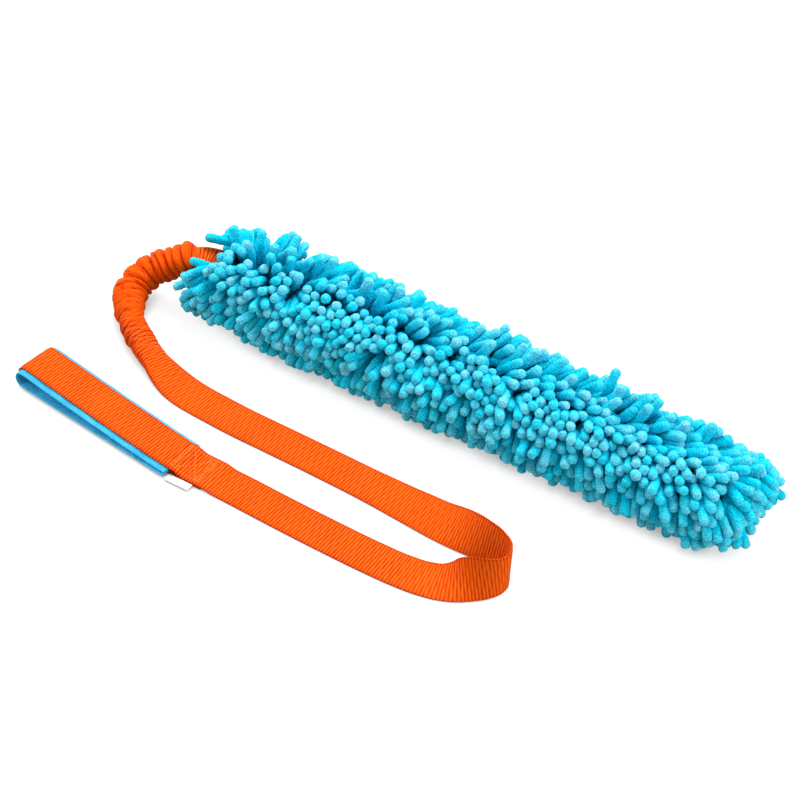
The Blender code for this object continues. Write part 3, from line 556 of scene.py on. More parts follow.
def make_strap():
    centre, across, up, path = strap_line()
    distance = arc(centre)
    tip = int(np.argmax(path[:, 0]))
    first = int(np.argmax(path[:, 0] >= TURN_FROM_X))
    last = tip + int(np.argmax(path[tip:, 0] <= TURN_TO_X))

    def run(name, a, b, body):
        cut = slice(a, b + 1)
        return webbing(name, centre[cut], across[cut], up[cut], body=body, start=distance[a])

    lower = run("webbing_lower_run", 0, first, "strap_lower")
    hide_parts("strap_lower_run")
    turn = run("webbing_turn", first, last, None)
    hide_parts("strap_turn")
    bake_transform(turn)

    # The upper run goes on into the end that is curled and sewn round the elastic cords
    mouth, inside = SLEEVE_ROUTE[-1, :2], SLEEVE_ROUTE[-2, :2]
    sewn, side, curl, width, height = sewn_end((*(mouth + unit(inside - mouth) * TUCKED_IN), 1.0))
    flat_run = slice(last, len(path) - 1)

    def joined(run_values, sewn_values):
        run_values = np.broadcast_to(run_values, (len(path) - 1 - last, *np.shape(sewn_values)[1:]))
        return np.concatenate([run_values, sewn_values])

    upper = webbing(
        "webbing_upper_run", joined(centre[flat_run], sewn + UP * height[:, None] / 2),
        joined(across[flat_run], side), joined(up[flat_run], np.tile([0, 0, -1.0], (len(sewn), 1))),
        joined(WEB_WIDTH, width), joined(WEB_THICK, height), joined(0, curl),
        joined(0, ease((curl - 0.45) / 0.4)), body="strap", start=distance[last],
    )
    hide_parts("strap_upper_run")


def loop_frame():
    out = np.array([math.cos(LOOP_ANGLE), math.sin(LOOP_ANGLE), 0.0])
    return out, np.array([-out[1], out[0], 0.0]) * (1 if out[0] > 0 else -1)


def loop_profile(inset, start):
    """(out, up) points of the loop's middle line, set in from the webbing's own by a distance."""
    steps, bend_steps, rise_power = 24, 16, 1.35
    radius = (LOOP_HEIGHT - WEB_THICK) / 2
    low, high = WEB_THICK / 2, LOOP_HEIGHT - WEB_THICK / 2
    top_start = low + float(strap_lift(0.0))
    centre = LOOP_LENGTH - WEB_THICK / 2 - radius
    u = start + (centre - start) * np.linspace(0, 1, steps)
    share = np.clip(u / centre, 0, 1)
    rise = (high - top_start) * share**rise_power
    tilt = np.arctan(rise_power * (high - top_start) / centre * share ** (rise_power - 1))
    top = np.column_stack([u + np.sin(tilt) * inset, top_start + rise - np.cos(tilt) * inset])
    a = math.pi / 2 - math.pi * np.arange(1, bend_steps) / bend_steps
    bend = [centre, low + radius] + np.column_stack([np.cos(a), np.sin(a)]) * (radius - inset)
    bottom = np.column_stack([u[::-1], np.full(steps, low + inset)])
    return np.concatenate([top, bend, bottom])


def loop_line(inset, start):
    """The loop's middle line in space, and each point's distance out from the strap."""
    profile = loop_profile(inset, start)
    return STRAP_START + loop_frame()[0] * profile[:, :1] + UP * profile[:, 1:], profile[:, :1]


def lift_with_loop(obj):
    """Bakes the piece's placement into its mesh."""
    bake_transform(obj)


def make_loop():
    line, reach = loop_line(0.0, 0.0)
    # the first ribs turn with the strap's, so the webbing runs on without a break
    turned = ease(reach / 0.030)
    side = unit(loop_frame()[1] * turned + np.array([0, 1.0, 0]) * (1 - turned))
    loop = webbing("webbing_loop", line, side, unit(np.cross(directions(line), side)))
    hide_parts("loop_webbing")
    lift_with_loop(loop)


def make_lining():
    """The loop's padded inside, a little wider than the webbing, so that it shows at both edges."""
    rows, edge_width = 260, 0.0012
    line = loop_line(WEB_THICK / 2 + LINING_THICK / 2 + GAP, -LINING_TUCK)[0]
    distance = arc(line)
    wanted = np.linspace(0, distance[-1], rows)
    line = resampled(line, distance, wanted)
    across = loop_frame()[1]
    side = np.tile(across, (rows, 1))
    up = np.cross(directions(line), side)
    flat_x, flat_z, bulge = strip_ring(21, 7)
    half = LINING_WIDTH / 2 + 0.0007
    # it lies a little towards the palm's side, its under layer more than the upper one
    line = line - across * (0.0009 + 0.0018 * ease((wanted / distance[-1] - 0.45) / 0.1))[:, None]
    # a stitched-down valley runs inside each edge, and the pile between swells towards the hand
    valley = np.exp(-(((1 - np.abs(flat_x)) * half - 0.0032) / 0.0009) ** 2)
    swell = 0.0005 * (1 - np.abs(flat_x) ** 6) - 0.0007 * valley
    ripple = 0.00022 * np.sin(wanted * 190.0)[:, None] * np.cos(flat_x * 4)
    x = flat_x * (half - edge_width) + bulge * 0.0014 + 0 * ripple
    z = flat_z * (LINING_THICK / 2 + np.where(flat_z < 0, swell, 0.0)) + ripple * (flat_z < 0)
    faces = tube_faces(rows, len(flat_x))
    lining = mesh_piece("fleece_loop_lining", swept(line, side, up, x, z), faces, ["fleece"])
    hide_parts("loop_lining")
    lift_with_loop(lining)


def stitches(name, rows, body, material="thread", length=0.0026, gap=0.0006, radius=0.00050):
    """Separate stitches along rows of points; each row is (points, normals)."""
    rings, sides = 6, 6
    angle = round_angles(sides)
    swell = np.array([0.25, 0.8, 1.0, 1.0, 0.8, 0.25])[:, None, None]
    dip = np.array([-0.8, 0.1, 0.45, 0.45, 0.1, -0.8])
    points = []
    for line, normals in rows:
        distance = arc(line)
        count = max(1, int(distance[-1] / (length + gap)))
        pitch = distance[-1] / count
        for i in range(count):
            wanted = np.linspace(i * pitch + gap / 2, (i + 1) * pitch - gap / 2, rings)
            centre = resampled(line, distance, wanted)
            up = unit(resampled(normals, distance, wanted))
            side = unit(np.cross(directions(centre), up))
            points.append(centre[:, None] + up[:, None] * (dip * radius)[:, None, None] + swell * radius * (
                side[:, None] * np.cos(angle)[:, None] + up[:, None] * np.sin(angle)[:, None] * 0.8
            ))
    base = (np.arange(len(points)) * rings * sides)[:, None, None]
    faces = [found + base for found in tube_faces(rings, sides)]
    obj = mesh_piece(name, points, faces, [material])
    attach(obj, body)
    return obj


def make_box_stitch():
    """A box of stitching with a cross in it and a dense zigzag band at each end."""
    low, high, band = 0.0022, STITCHED_LENGTH - 0.0035, 0.0045
    half = WEB_WIDTH / 2 - 0.0036

    def place(d, y, sink=0.0):
        d, y = np.asarray(d, float), np.asarray(y, float)
        slope = (strap_lift(d + 1e-4) - strap_lift(d - 1e-4)) / 2e-4
        top = WEB_THICK / 2 + strap_lift(d) + (WEB_THICK / 2 + THREAD_LIFT - sink) * np.hypot(1, slope)
        points = STRAP_START + np.stack([d, y, top], -1)
        return points, unit(np.stack([-slope, 0 * d, np.ones_like(d)], -1))

    sway = half * (1 - 2 * np.linspace(0, 1, 26))
    rows = [place(end + band * zigzag(26), sway) for end in (low, high - band)]
    rows += [place(np.linspace(low, high, 30), np.full(30, y), 0.00035) for y in (half, -half)]
    cross = np.linspace(low + 0.005, high - 0.005, 30)
    rows += [place(cross, np.linspace(-half, half, 30) * sign, 0.0004) for sign in (1, -1)]
    obj = stitches("thread_box_stitch", rows, "strap_lower")
    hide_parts("box_stitch")


def make_sewn_down_end():
    line = STRAP_START + [(d, 0, WEB_THICK / 2) for d in np.linspace(GAP, STITCHED_LENGTH, 12)]
    end = webbing("webbing_sewn_down_end", line, [0, 1.0, 0], UP, body="strap_lower")
    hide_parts("loop_sewn_end")


def make_label():
    """A blank folded tape that stands out of the strap's near edge, just clear of the floor."""
    length, depth = 0.026, 0.0080
    seam = np.array([STRAP_START[0] + 0.0045, STRAP_EDGE_Y - 0.0009, WEB_THICK + GAP])
    nx, ny = 40, 18
    u, v = np.meshgrid(np.linspace(0, 1, nx), np.linspace(0, 1, ny), indexing="ij")
    thick = 0.0007 + 0.0010 * v
    curve = -0.0003 * v
    curl = -0.0002 * np.sin(math.pi * u) * v * (1 - v) * 4 + 0.0003 * (u - 0.5) * v
    points = []
    for sign in (1, -1):
        z = seam[2] + curve + curl + sign * thick / 2 * (1 - 0.25 * (v > 0.98))
        points.append(np.stack([seam[0] + u * length, seam[1] - v * depth, np.maximum(z, 0.0)], -1))
    i, j = np.meshgrid(np.arange(nx - 1), np.arange(ny - 1), indexing="ij")
    a = (i * ny + j).ravel()
    count = nx * ny
    face = np.stack([a, a + ny, a + ny + 1, a + 1], -1)
    rim = np.concatenate([
        np.arange(nx) * ny, (nx - 1) * ny + np.arange(1, ny), np.arange(nx - 2, -1, -1) * ny + ny - 1,
        np.arange(ny - 2, 0, -1),
    ])
    after = np.roll(rim, -1)
    side = np.stack([rim, rim + count, after + count, after], -1)
    quads = np.concatenate([face[:, ::-1], face + count, side[:, ::-1]])
    label = mesh_piece("tape_label", points, [quads], ["label"])
    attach(label, "label")
    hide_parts("label")


def smooth_noise(x, y, seed, cells_y):
    """Value noise that wraps round in y (0..1) and runs freely along x."""
    cells_x = 64
    table = np.random.RandomState(seed).uniform(-1, 1, (cells_x, cells_y))
    xi, yi = np.floor(x).astype(int), np.floor(y * cells_y).astype(int)
    fx, fy = x - xi, y * cells_y - yi
    fx, fy = fx * fx * (3 - 2 * fx), fy * fy * (3 - 2 * fy)
    (a, b), (c, d) = ([table[(xi + i) % cells_x, (yi + j) % cells_y] for i in (0, 1)] for j in (0, 1))
    return (a * (1 - fx) + b * fx) * (1 - fy) + (c * (1 - fx) + d * fx) * fy


# Where each fold's valley lies along the sleeve, in millimetres, on its outer and its inner side
FOLDS_OUTER = [-7, 0, 6.4, 15.5, 23.9, 31.5, 39.6, 50.9, 64.4, 75.9, 85.8, 94, 100, 106, 111, 116, 121, 126]
FOLDS_INNER = [-3, 4, 12.5, 23.5, 34, 40, 46.5, 59.9, 75.9, 86.5, 94, 99, 104, 109, 113, 117, 121, 125]
FOLD_DEPTHS = [1, 1, 6.6, 3.8, 5.8, 3, 5.8, 4.4, 5, 3.4, 2.8, 1.4, 1, 1.4, 0.9, 0.8, 0.7, 0.7]


def sleeve_line(start, end, count):
    """The sleeve's middle line, cut short at its ends, with its directions inward and up, and distances."""
    route = through(SLEEVE_ROUTE)
    distance = arc(route)
    wanted = np.linspace(start, distance[-1] - end, count)
    line = resampled(route, distance, wanted)
    along = directions(line)
    across = unit(np.cross(along, UP))
    return line, across, np.cross(across, along), wanted


def make_sleeve():
    """Webbing gathered into deep soft ruffles by the mop, and ever finer ones towards the strap."""
    rows, sides, ribs_per_fold, neck = 640, 128, 6, 0.0085
    line, across, up, wanted = sleeve_line(0, 0, rows)
    total = wanted[-1]
    share = (wanted / total)[:, None] * np.ones((1, sides))
    turn = np.ones((rows, 1)) * np.arange(sides) / sides
    angle = 2 * math.pi * turn

    def rough(cells_along, seed, cells_round):
        return smooth_noise(share * cells_along, turn, seed, cells_round)

    # across points to the inside of the curve; the outside is seen from above
    inward = 0.5 + 0.5 * np.cos(angle - 0.5)
    # where each fold runs, and how deep it is
    sway = 1.6 * rough(9, 3, 5) + 0.8 * rough(21, 5, 9)
    place = share * total * 1000 + sway * (0.95 + 0.4 * share)
    phase, depth = np.zeros_like(share), np.zeros_like(share)
    valleys = [outer * (1 - inward) + inner * inward for outer, inner in zip(FOLDS_OUTER, FOLDS_INNER)]
    for k, (low, high) in enumerate(zip(valleys, valleys[1:])):
        t = (place - low) / (high - low)
        inside = (t >= 0) & (t < 1)
        phase[inside] = (k + t)[inside]
        depth[inside] = np.where(t < 0.5, FOLD_DEPTHS[k], FOLD_DEPTHS[k + 1])[inside]
    fold = np.abs(np.sin(math.pi * phase)) ** 0.80
    deep = depth / 1000 * (0.80 + 0.35 * rough(8, 11, 4))
    rib = np.abs(np.sin(math.pi * phase * ribs_per_fold + 0.9 * rough(30, 19, 14)))
    gather = np.abs(np.sin(math.pi * (phase * 2 + 0.7 * rough(26, 17, 12))))
    fine = ease((share - 0.45) / 0.3)
    crease = np.clip(rough(40, 29, 16) - 0.25, 0, 1) * fine
    radius = SLEEVE_RADIUS + 0.0008 - deep * (1 - fold) - 0.0007 * (1 - 0.5 * fine) * (1 - gather**0.6)
    radius -= 0.00050 * (1 - rib**0.8) + 0.0012 * crease
    radius += 0.0010 * rough(7, 23, 3) + 0.0011 * rough(19, 27, 5)
    radius -= 0.0026 * ease((share - 0.72) / 0.28)
    mouth = (0.84 + 0.16 * ease((total - wanted) / 0.004))[:, None]
    radius = np.minimum(radius, SLEEVE_RADIUS + 0.0014) * mouth
    # sewn flat where the stub runs in
    flatten = (0.30 + 0.70 * ease(wanted / neck))[:, None]
    narrow = (0.80 + 0.20 * ease(wanted / neck))[:, None]
    points = swept(line, across, up, np.cos(angle) * radius * narrow, np.sin(angle) * radius * flatten)
    points[..., 2] = np.maximum(points[..., 2], 0.0)
    lit = 0.46 * rib + (0.64 - 0.34 * fine) * fold**0.7 * (0.75 + 0.25 * gather) + 0.30 * fine - 0.8 * crease
    values = {
        "along": (phase * ribs_per_fold * 0.0017).ravel(), "across": (turn * 0.09).ravel(),
        "rib": np.clip(lit, 0, 1).ravel(),
    }
    sleeve = mesh_piece("webbing_ruched_sleeve", points, tube_faces(rows, sides), ["sleeve"], values)
    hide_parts("ruched_sleeve")
    stretch(sleeve)


def stretch(obj):
    """Bakes the piece's placement into its mesh."""
    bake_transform(obj)


def make_cords():
    """Two braided elastic cords, side by side inside the sleeve."""
    sides, strands, slant = 24, 4, 900
    line, across, up, wanted = sleeve_line(CORD_START, CORD_END, 150)
    angle = round_angles(sides)[None, :]
    twist = slant * wanted[:, None]
    braid = np.abs(np.sin(strands * angle + twist) * np.sin(strands * angle - twist))
    radius = CORD_RADIUS - 0.0003 * (1 - braid)
    faces = tube_faces(len(line), sides)
    for name, side in (("a", 1), ("b", -1)):
        middle = line + across * side * (CORD_RADIUS + GAP / 2)
        points = swept(middle, across, up, np.cos(angle) * radius, np.sin(angle) * radius)
        cord = mesh_piece("cord_elastic_" + name, points, faces, ["elastic"])
        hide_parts("elastic_cord_" + name)
        stretch(cord)


def make_sewn_end_stitches():
    """Rows of orange zigzag through the curled end of the strap."""
    flat, side, curl, width, height = sewn_end()
    distance = arc(flat)

    def place(at, sway):
        """at is metres back from the sleeve's side end, sway -1..1 across the top."""
        back = distance[-1] - at
        across = unit(resampled(side, distance, back))
        w, h, k = (np.interp(back, distance, value) for value in (width, height, curl))
        angle, k = sway * 0.95, np.sqrt(k)
        top = h / 2 + h / 2 * (k * np.cos(angle) + (1 - k)) + 0.0003
        points = resampled(flat, distance, back) + across * (np.sin(angle) * w / 2)[:, None]
        normals = across * (k * np.sin(angle))[:, None] + UP * np.cos(angle)[:, None]
        return points + UP * top[:, None], unit(normals)

    rows = [place(0.004 + 0.0042 * i + 0.0012 * zigzag(18), np.linspace(-1, 1, 18) * 0.8) for i in range(7)]
    obj = stitches("thread_sewn_end", rows, "strap", radius=0.00036)
    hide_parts("sewn_end_stitches")


def make_core_free_half():
    """The doubled webbing down the mop's middle, as far as its folded tip."""
    line = np.linspace((CORE_SPLIT_X + GAP / 2, MOP_Y, MOP_Z), (TIP_X, MOP_Y, MOP_Z), 60)
    height = np.where(line[:, 0] > TIP_X - 0.0008, CORE_THICK * 0.86, CORE_THICK)
    free = webbing("webbing_core_free_half", line, [0, -1.0, 0], [0, 0, -1.0], height=height)
    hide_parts("core_webbing_free_half")
    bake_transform(free)


def bungee_half():
    """Line, side, normal, width and thickness of the core's other half, with the stub it ends in."""
    stub = [(8, 0, 0), (-1, 0, 0), (-7, -0.5, 1.2), (-13, -2.2, 2.8), (-18.5, -4.9, 4.1)]
    route = [(MOP_NEAR_X + 0.02, MOP_Y, MOP_Z)]
    route += [(HEM_X + a / 1000, MOP_Y + b / 1000, MOP_Z + c / 1000) for a, b, c in stub]
    route.append(tuple(SLEEVE_ROUTE[0] + unit(SLEEVE_ROUTE[1] - SLEEVE_ROUTE[0]) * TUCKED_IN))
    line = np.concatenate([[(CORE_SPLIT_X - GAP / 2, MOP_Y, MOP_Z)], through(route)])
    along = directions(line)
    level = unit(on_floor(along[:, 0], along[:, 1]))
    side = on_floor(level[:, 1], -level[:, 0])
    out = np.clip((HEM_X - line[:, 0]) / 0.020, 0, 1)
    width = WEB_WIDTH + (STUB_WIDTH - WEB_WIDTH) * out
    return line, side, np.cross(along, side), width, CORE_THICK + 0.0012 * out


def make_core_bungee_half():
    made = webbing("webbing_core_bungee_half", *bungee_half(), body="mop_bungee_half")
    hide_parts("core_webbing_bungee_half")


def make_bar_tack():
    """Dark zigzag stitching through the stub."""
    line, side, normal, width, height = bungee_half()
    distance = arc(line)
    start, end = np.interp([HEM_X + 0.0005, HEM_X - 0.0115], line[::-1, 0], distance[::-1])
    rows = []
    for i in range(5):
        d = start + (end - start) * (0.12 + 0.19 * i) + 0.0014 * zigzag(15)
        sway = np.linspace(-0.80, 0.80, 15)
        w, h = np.interp(d, distance, width), np.interp(d, distance, height)
        n = unit(resampled(normal, distance, d))
        n = n * np.sign(n[:, 2:])
        p = resampled(line, distance, d) + unit(resampled(side, distance, d)) * (sway * w / 2)[:, None]
        rows.append((p + n * (h / 2 + 0.00025)[:, None], n))
    tack = stitches("thread_stub_bar_tack", rows, "mop_bungee_half", "dark_thread", 0.0016, 0.0005, 0.00046)
    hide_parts("stub_bar_tack")


def make_hems():
    """Short cloth cuffs that close the mop's sleeve round the core webbing."""
    rings, sides, power = 14, 64, 0.6
    half_width, half_height = 0.0238, 0.0036
    s = np.linspace(0, 1, rings)[:, None]
    a = round_angles(sides)
    roll = np.sqrt(np.clip(1 - (2 * s - 1) ** 2, 0.02, 1))
    pucker = 1 + 0.02 * np.sin(a * 17) * np.sin(math.pi * s)
    y = MOP_Y + boxy(np.cos(a), power) * half_width * (0.94 + 0.06 * roll) * pucker
    z = MOP_Z + boxy(np.sin(a), power) * (half_height + 0.0019 * roll) * pucker
    faces = tube_faces(rings, sides)
    for end, body, start, sign in (
        ("free_end", "mop", MOP_FAR_X, 1), ("bungee_end", "mop_bungee_half", MOP_NEAR_X, -1),
    ):
        points = np.stack([start + sign * (GAP + HEM_LENGTH * s) + 0 * a, y, z], -1)
        hem = mesh_piece("cloth_hem_" + end, points, turned_over(faces) if sign > 0 else faces, ["cloth"])
        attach(hem, body)
        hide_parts("mop_hem_" + end)


def field(x, share, seed):
    """A slow random sway over the mop, so that neighbouring noodles lean together."""
    return smooth_noise(x / 0.045 + 3.0, share, seed, 6)


# How far the noodles lean towards the free end, at shares of the mop's length, on each of its sides
LEAN_AT = [0.0, 0.08, 0.16, 0.26, 0.38, 0.50, 0.62, 0.85, 1.0]
LEAN_NEAR = [-0.9, -0.6, -0.35, -0.3, -0.45, 0.1, 0.45, 0.5, 0.7]
LEAN_TOP = [-0.5, -0.1, 0.25, 0.40, 0.42, 0.42, 0.45, 0.50, 0.6]
LEAN_FAR = [-0.3, -0.1, 0.40, 0.50, 0.55, 0.55, 0.55, 0.60, 0.7]

# Roots and tips of the noodles that lie round the stub
BY_THE_STUB = [
    ((-0.2379, 0.1032, 0.0590), (-0.2723, 0.0897, 0.0630)),
    ((-0.2350, 0.0630, 0.0570), (-0.2715, 0.0610, 0.0540)),
    ((-0.2360, 0.0550, 0.0480), (-0.2675, 0.0520, 0.0420)),
    ((-0.2440, 0.0605, 0.0515), (-0.2330, 0.0395, 0.0710)),
    ((-0.2438, 0.0695, 0.0515), (-0.2300, 0.0490, 0.0725)),
    ((-0.2440, 0.0785, 0.0515), (-0.2320, 0.0600, 0.0760)),
    ((-0.2436, 0.0875, 0.0515), (-0.2290, 0.0690, 0.0745)),
    ((-0.2440, 0.0965, 0.0515), (-0.2300, 0.0790, 0.0770)),
    ((-0.2370, 0.0650, 0.0570), (-0.2270, 0.0400, 0.0790)),
    ((-0.2350, 0.0740, 0.0575), (-0.2200, 0.0550, 0.0830)),
    ((-0.2370, 0.0830, 0.0575), (-0.2240, 0.0610, 0.0815)),
    ((-0.2350, 0.0920, 0.0570), (-0.2200, 0.0730, 0.0830)),
    ((-0.2280, 0.0600, 0.0560), (-0.2200, 0.0350, 0.0740)),
    ((-0.2270, 0.0860, 0.0575), (-0.2140, 0.0690, 0.0860)),
]


def noodle_starts():
    """Root and first direction of each noodle, on a staggered grid round the core."""
    rows, around, root_depth = 45, 28, 0.001
    row = np.repeat(np.arange(rows), around)
    column = np.tile(np.arange(around), rows)
    x = MOP_NEAR_X + (row + 0.5) / rows * MOP_LENGTH + random.uniform(-0.0024, 0.0024, len(row))
    x = np.clip(x, MOP_NEAR_X + root_depth, MOP_FAR_X - root_depth)
    share = (column + 0.5 * (row % 2) + random.uniform(-0.24, 0.24, len(row))) / around
    share -= 0.055 * np.sin(2 * math.pi * (share - 0.30))  # thickest where the mop is seen from
    angle = 2 * math.pi * share
    outward = np.column_stack([np.cos(angle), np.sin(angle)])
    root = MOP_MIDDLE + boxy(outward, CORE_POWER) * (MOP_CORE_HALF - root_depth)
    # the end rows lean out over the ends, but those on top leave the stub in sight
    from_near, from_far = x - MOP_NEAR_X, MOP_FAR_X - x
    topmost = np.clip(outward @ np.array([-0.60, 0.80]), 0, 1)
    lean = np.radians(66) * (np.exp(-from_far / 0.020) - np.exp(-from_near / 0.018) * (1 - 0.95 * topmost))
    way = np.column_stack([np.sin(lean), outward * np.cos(lean)[:, None]])
    near, far, top = (np.clip(part, 0, 1) for part in (-outward[:, 0], outward[:, 0], outward[:, 1]))
    sides = ((LEAN_NEAR, near), (LEAN_TOP, top), (LEAN_FAR, far))
    slant = sum(np.interp(from_near / MOP_LENGTH, LEAN_AT, leans) * part for leans, part in sides)
    way[:, 0] += slant / (near + far + top + 1e-6) * 0.85
    way[:, 0] += 0.16 * field(x, share, 31)
    way[:, 1] += 0.16 * field(x, share, 37)
    way += np.clip(random.normal(0, 0.21, way.shape), -0.42, 0.42)
    way[:, 2] -= 0.08 + 0.36 * near * (1 - np.abs(outward[:, 1]))
    facing = 0.52 * np.clip(outward @ np.array([-0.30, 0.95]), 0, 1) ** 5
    facing = (facing * ease((from_near - 0.004) / 0.022) * ease((from_far - 0.012) / 0.030))[:, None]
    way = unit(way) * (1 - facing) + SIGHT * facing
    starts = np.column_stack([x, root])

    # a few more stand round each hem
    for end, sign in ((MOP_NEAR_X, -1), (MOP_FAR_X, 1)):
        places = [(y, z) for y in (-24, -14, -5, 5, 14, 24) for z in (-8.5, 8.5)] + [(-28, 0), (28, 0)]
        if sign < 0:
            places = [(y, z) for y, z in places if z < 0 or abs(y) > 20]
        places = np.array(places) / 1000
        column = np.ones(len(places))
        root = np.column_stack([column * (end - sign * root_depth), MOP_MIDDLE + places])
        starts = np.concatenate([starts, root])
        ends = np.column_stack([column * sign, places / [0.03, 0.02]])
        way = np.concatenate([way, ends + random.normal(0, 0.15, ends.shape)])
    starts = np.concatenate([starts, [root for root, tip in BY_THE_STUB]])
    way = np.concatenate([way, [np.subtract(tip, root) / NOODLE_LENGTH for root, tip in BY_THE_STUB]])
    return starts, unit(way)


def close_pairs(points, reach):
    """Pairs of points nearer than reach, found in cells of that size."""
    cell = np.floor(points / reach).astype(np.int64)
    cell -= cell.min(0) - 1
    size = cell.max(0) + 2
    key = (cell[:, 0] * size[1] + cell[:, 1]) * size[2] + cell[:, 2]
    order = np.argsort(key, kind="stable")
    ordered = key[order]
    pairs = []
    for dx, dy, dz in itertools.product((-1, 0, 1), repeat=3):
        shifted = key + (dx * size[1] + dy) * size[2] + dz
        low, high = (np.searchsorted(ordered, shifted, side) for side in ("left", "right"))
        count = high - low
        first = np.repeat(np.arange(len(points)), count)
        second = order[np.arange(count.sum()) + np.repeat(low - np.cumsum(count) + count, count)]
        pairs.append(np.stack([first, second])[:, first < second])
    first, second = np.concatenate(pairs, 1)
    near = np.linalg.norm(points[first] - points[second], axis=1) < reach
    return first[near], second[near]


def settle(root, way, length):
    """Lets the noodles' chains push each other apart, sag and lie on the floor."""
    turns, turns_per_search, push_share, overlap, sag, smoothing = 96, 6, 0.32, 0.97, 0.00006, 0.10
    core_gap = 0.004
    count = len(root)
    held = count - len(BY_THE_STUB)
    step = (length / (LINKS - 1))[:, None]
    straight = root[:, None] + way[:, None] * (step[:, :, None] * np.arange(LINKS)[None, :, None])
    chain = straight.copy()
    radii = np.tile(np.array([0.0, 0.55, 0.85, 1.0, 1.0, 1.0]) * NOODLE_RADIUS, count)
    owner = np.repeat(np.arange(count), LINKS)
    for turn in range(turns):
        flat = chain.reshape(-1, 3)
        if turn % turns_per_search == 0:
            a, b = close_pairs(flat, 2.6 * NOODLE_RADIUS)
            keep = (owner[a] != owner[b]) & (radii[a] > 0) & (radii[b] > 0)
            a, b = a[keep], b[keep]
        gap = flat[b] - flat[a]
        apart = np.linalg.norm(gap, axis=1)
        push = np.clip((radii[a] + radii[b]) * overlap - apart, 0, None)
        move = gap / np.maximum(apart, 1e-6)[:, None] * (push * push_share)[:, None]
        shift = np.zeros_like(flat)
        np.add.at(shift, a, -move)
        np.add.at(shift, b, move)
        chain = (flat + shift).reshape(count, LINKS, 3)
        chain[:, 2:, 2] -= sag * np.arange(1, LINKS - 1)
        # stay off the core
        off = chain[..., 1:] - MOP_MIDDLE
        inside = np.hypot(*np.moveaxis(off / (MOP_CORE_HALF + core_gap), -1, 0))
        deep = (inside < 1) & (chain[..., 0] > MOP_NEAR_X) & (chain[..., 0] < MOP_FAR_X)
        deep[:, 0] = False
        grow = np.where(deep, 1 / np.maximum(inside, 0.2), 1)
        chain[..., 1:] = MOP_MIDDLE + off * grow[..., None]
        chain[..., 2] = np.maximum(chain[..., 2], NOODLE_RADIUS * 0.92)
        # keep each chain's root, first direction, length and smoothness
        chain[:, 0] = root
        chain[:, 1] += 0.5 * (root + way * step - chain[:, 1])
        chain[:, 1:-1] += smoothing * (chain[:, :-2] + chain[:, 2:] - 2 * chain[:, 1:-1])
        chain[:, 0] = root
        for k in range(1, LINKS):
            chain[:, k] = chain[:, k - 1] + unit(chain[:, k] - chain[:, k - 1]) * step
        chain[held:] = straight[held:]
    return chain


def curve_through(chain, place):
    """Points on a smooth curve through each chain's links, at places given in links from its root."""
    i = np.clip(place.astype(int), 0, LINKS - 2)
    f = (place - i)[..., None]
    rows = np.arange(len(chain))[:, None]
    before, start = chain[rows, np.maximum(i - 1, 0)], chain[rows, i]
    end, after = chain[rows, i + 1], chain[rows, np.minimum(i + 2, LINKS - 1)]
    return 0.5 * (
        2 * start + (end - before) * f + (2 * before - 5 * start + 4 * end - after) * f**2
        + (3 * start - before - 3 * end + after) * f**3
    )


def noodle_mesh(chain, length):
    """Rings of points round each chain, closed by a rounded tip, with a pilled surface."""
    count = len(chain)
    body_rings, cap_rings, sides = 17, 4, 14
    radius = NOODLE_RADIUS * random.uniform(0.93, 1.06, count)
    cap = np.linspace(0, math.pi / 2, cap_rings + 1)[1:]
    share_body = np.linspace(0, 1, body_rings)
    profile = np.concatenate([0.72 + 0.28 * np.clip(share_body / 0.3, 0, 1), np.cos(cap)])
    profile[-1] = 0.18
    rings = len(profile)
    body_length = (length - radius)[:, None]
    place = np.concatenate([share_body * body_length, body_length + np.sin(cap) * radius[:, None]], 1)
    centre = curve_through(chain, place / length[:, None] * (LINKS - 1))
    along = unit(np.gradient(centre, axis=1))
    mean = unit(along.mean(1))
    least = np.eye(3)[np.argmin(np.abs(mean), axis=1)]
    across = unit(np.cross(along, least[:, None]))
    spin = random.uniform(0, 2 * math.pi, count)[:, None, None]
    angle = spin + 2 * math.pi * (np.arange(sides) + 0.5 * zigzag(rings)[None, :, None]) / sides
    wave_height = 1 + 0.04 * np.sin(place[..., None] * 420 + random.uniform(0, 6, (count, 1, 1)))
    pill = random.normal(0, 0.060, (count, rings, sides))
    girth = radius[:, None, None] * profile[None, :, None] * (wave_height + pill)
    points = swept(centre, across, np.cross(along, across), girth * np.cos(angle), girth * np.sin(angle))
    points[..., 2] = np.maximum(points[..., 2], 0.0)
    # painted light and shade: the tip value makes each noodle darker at its root, deep in the pile, and
    # paler towards its end
    tip = np.clip((place / length[:, None] - 0.35) / 0.65, 0, 1)
    # the same noodle drawn straight, at a place of its own, for the pile's pattern
    straight = np.stack([
        girth * np.cos(angle - spin) + 0.013 * np.arange(count)[:, None, None],
        girth * np.sin(angle - spin), place[..., None] + 0 * angle,
    ], -1)
    shade = np.broadcast_to(random.uniform(0, 1, count)[:, None, None], girth.shape)
    return points, {"tip": np.repeat(tip[..., None], sides, 2), "rest": straight, "shade": shade}


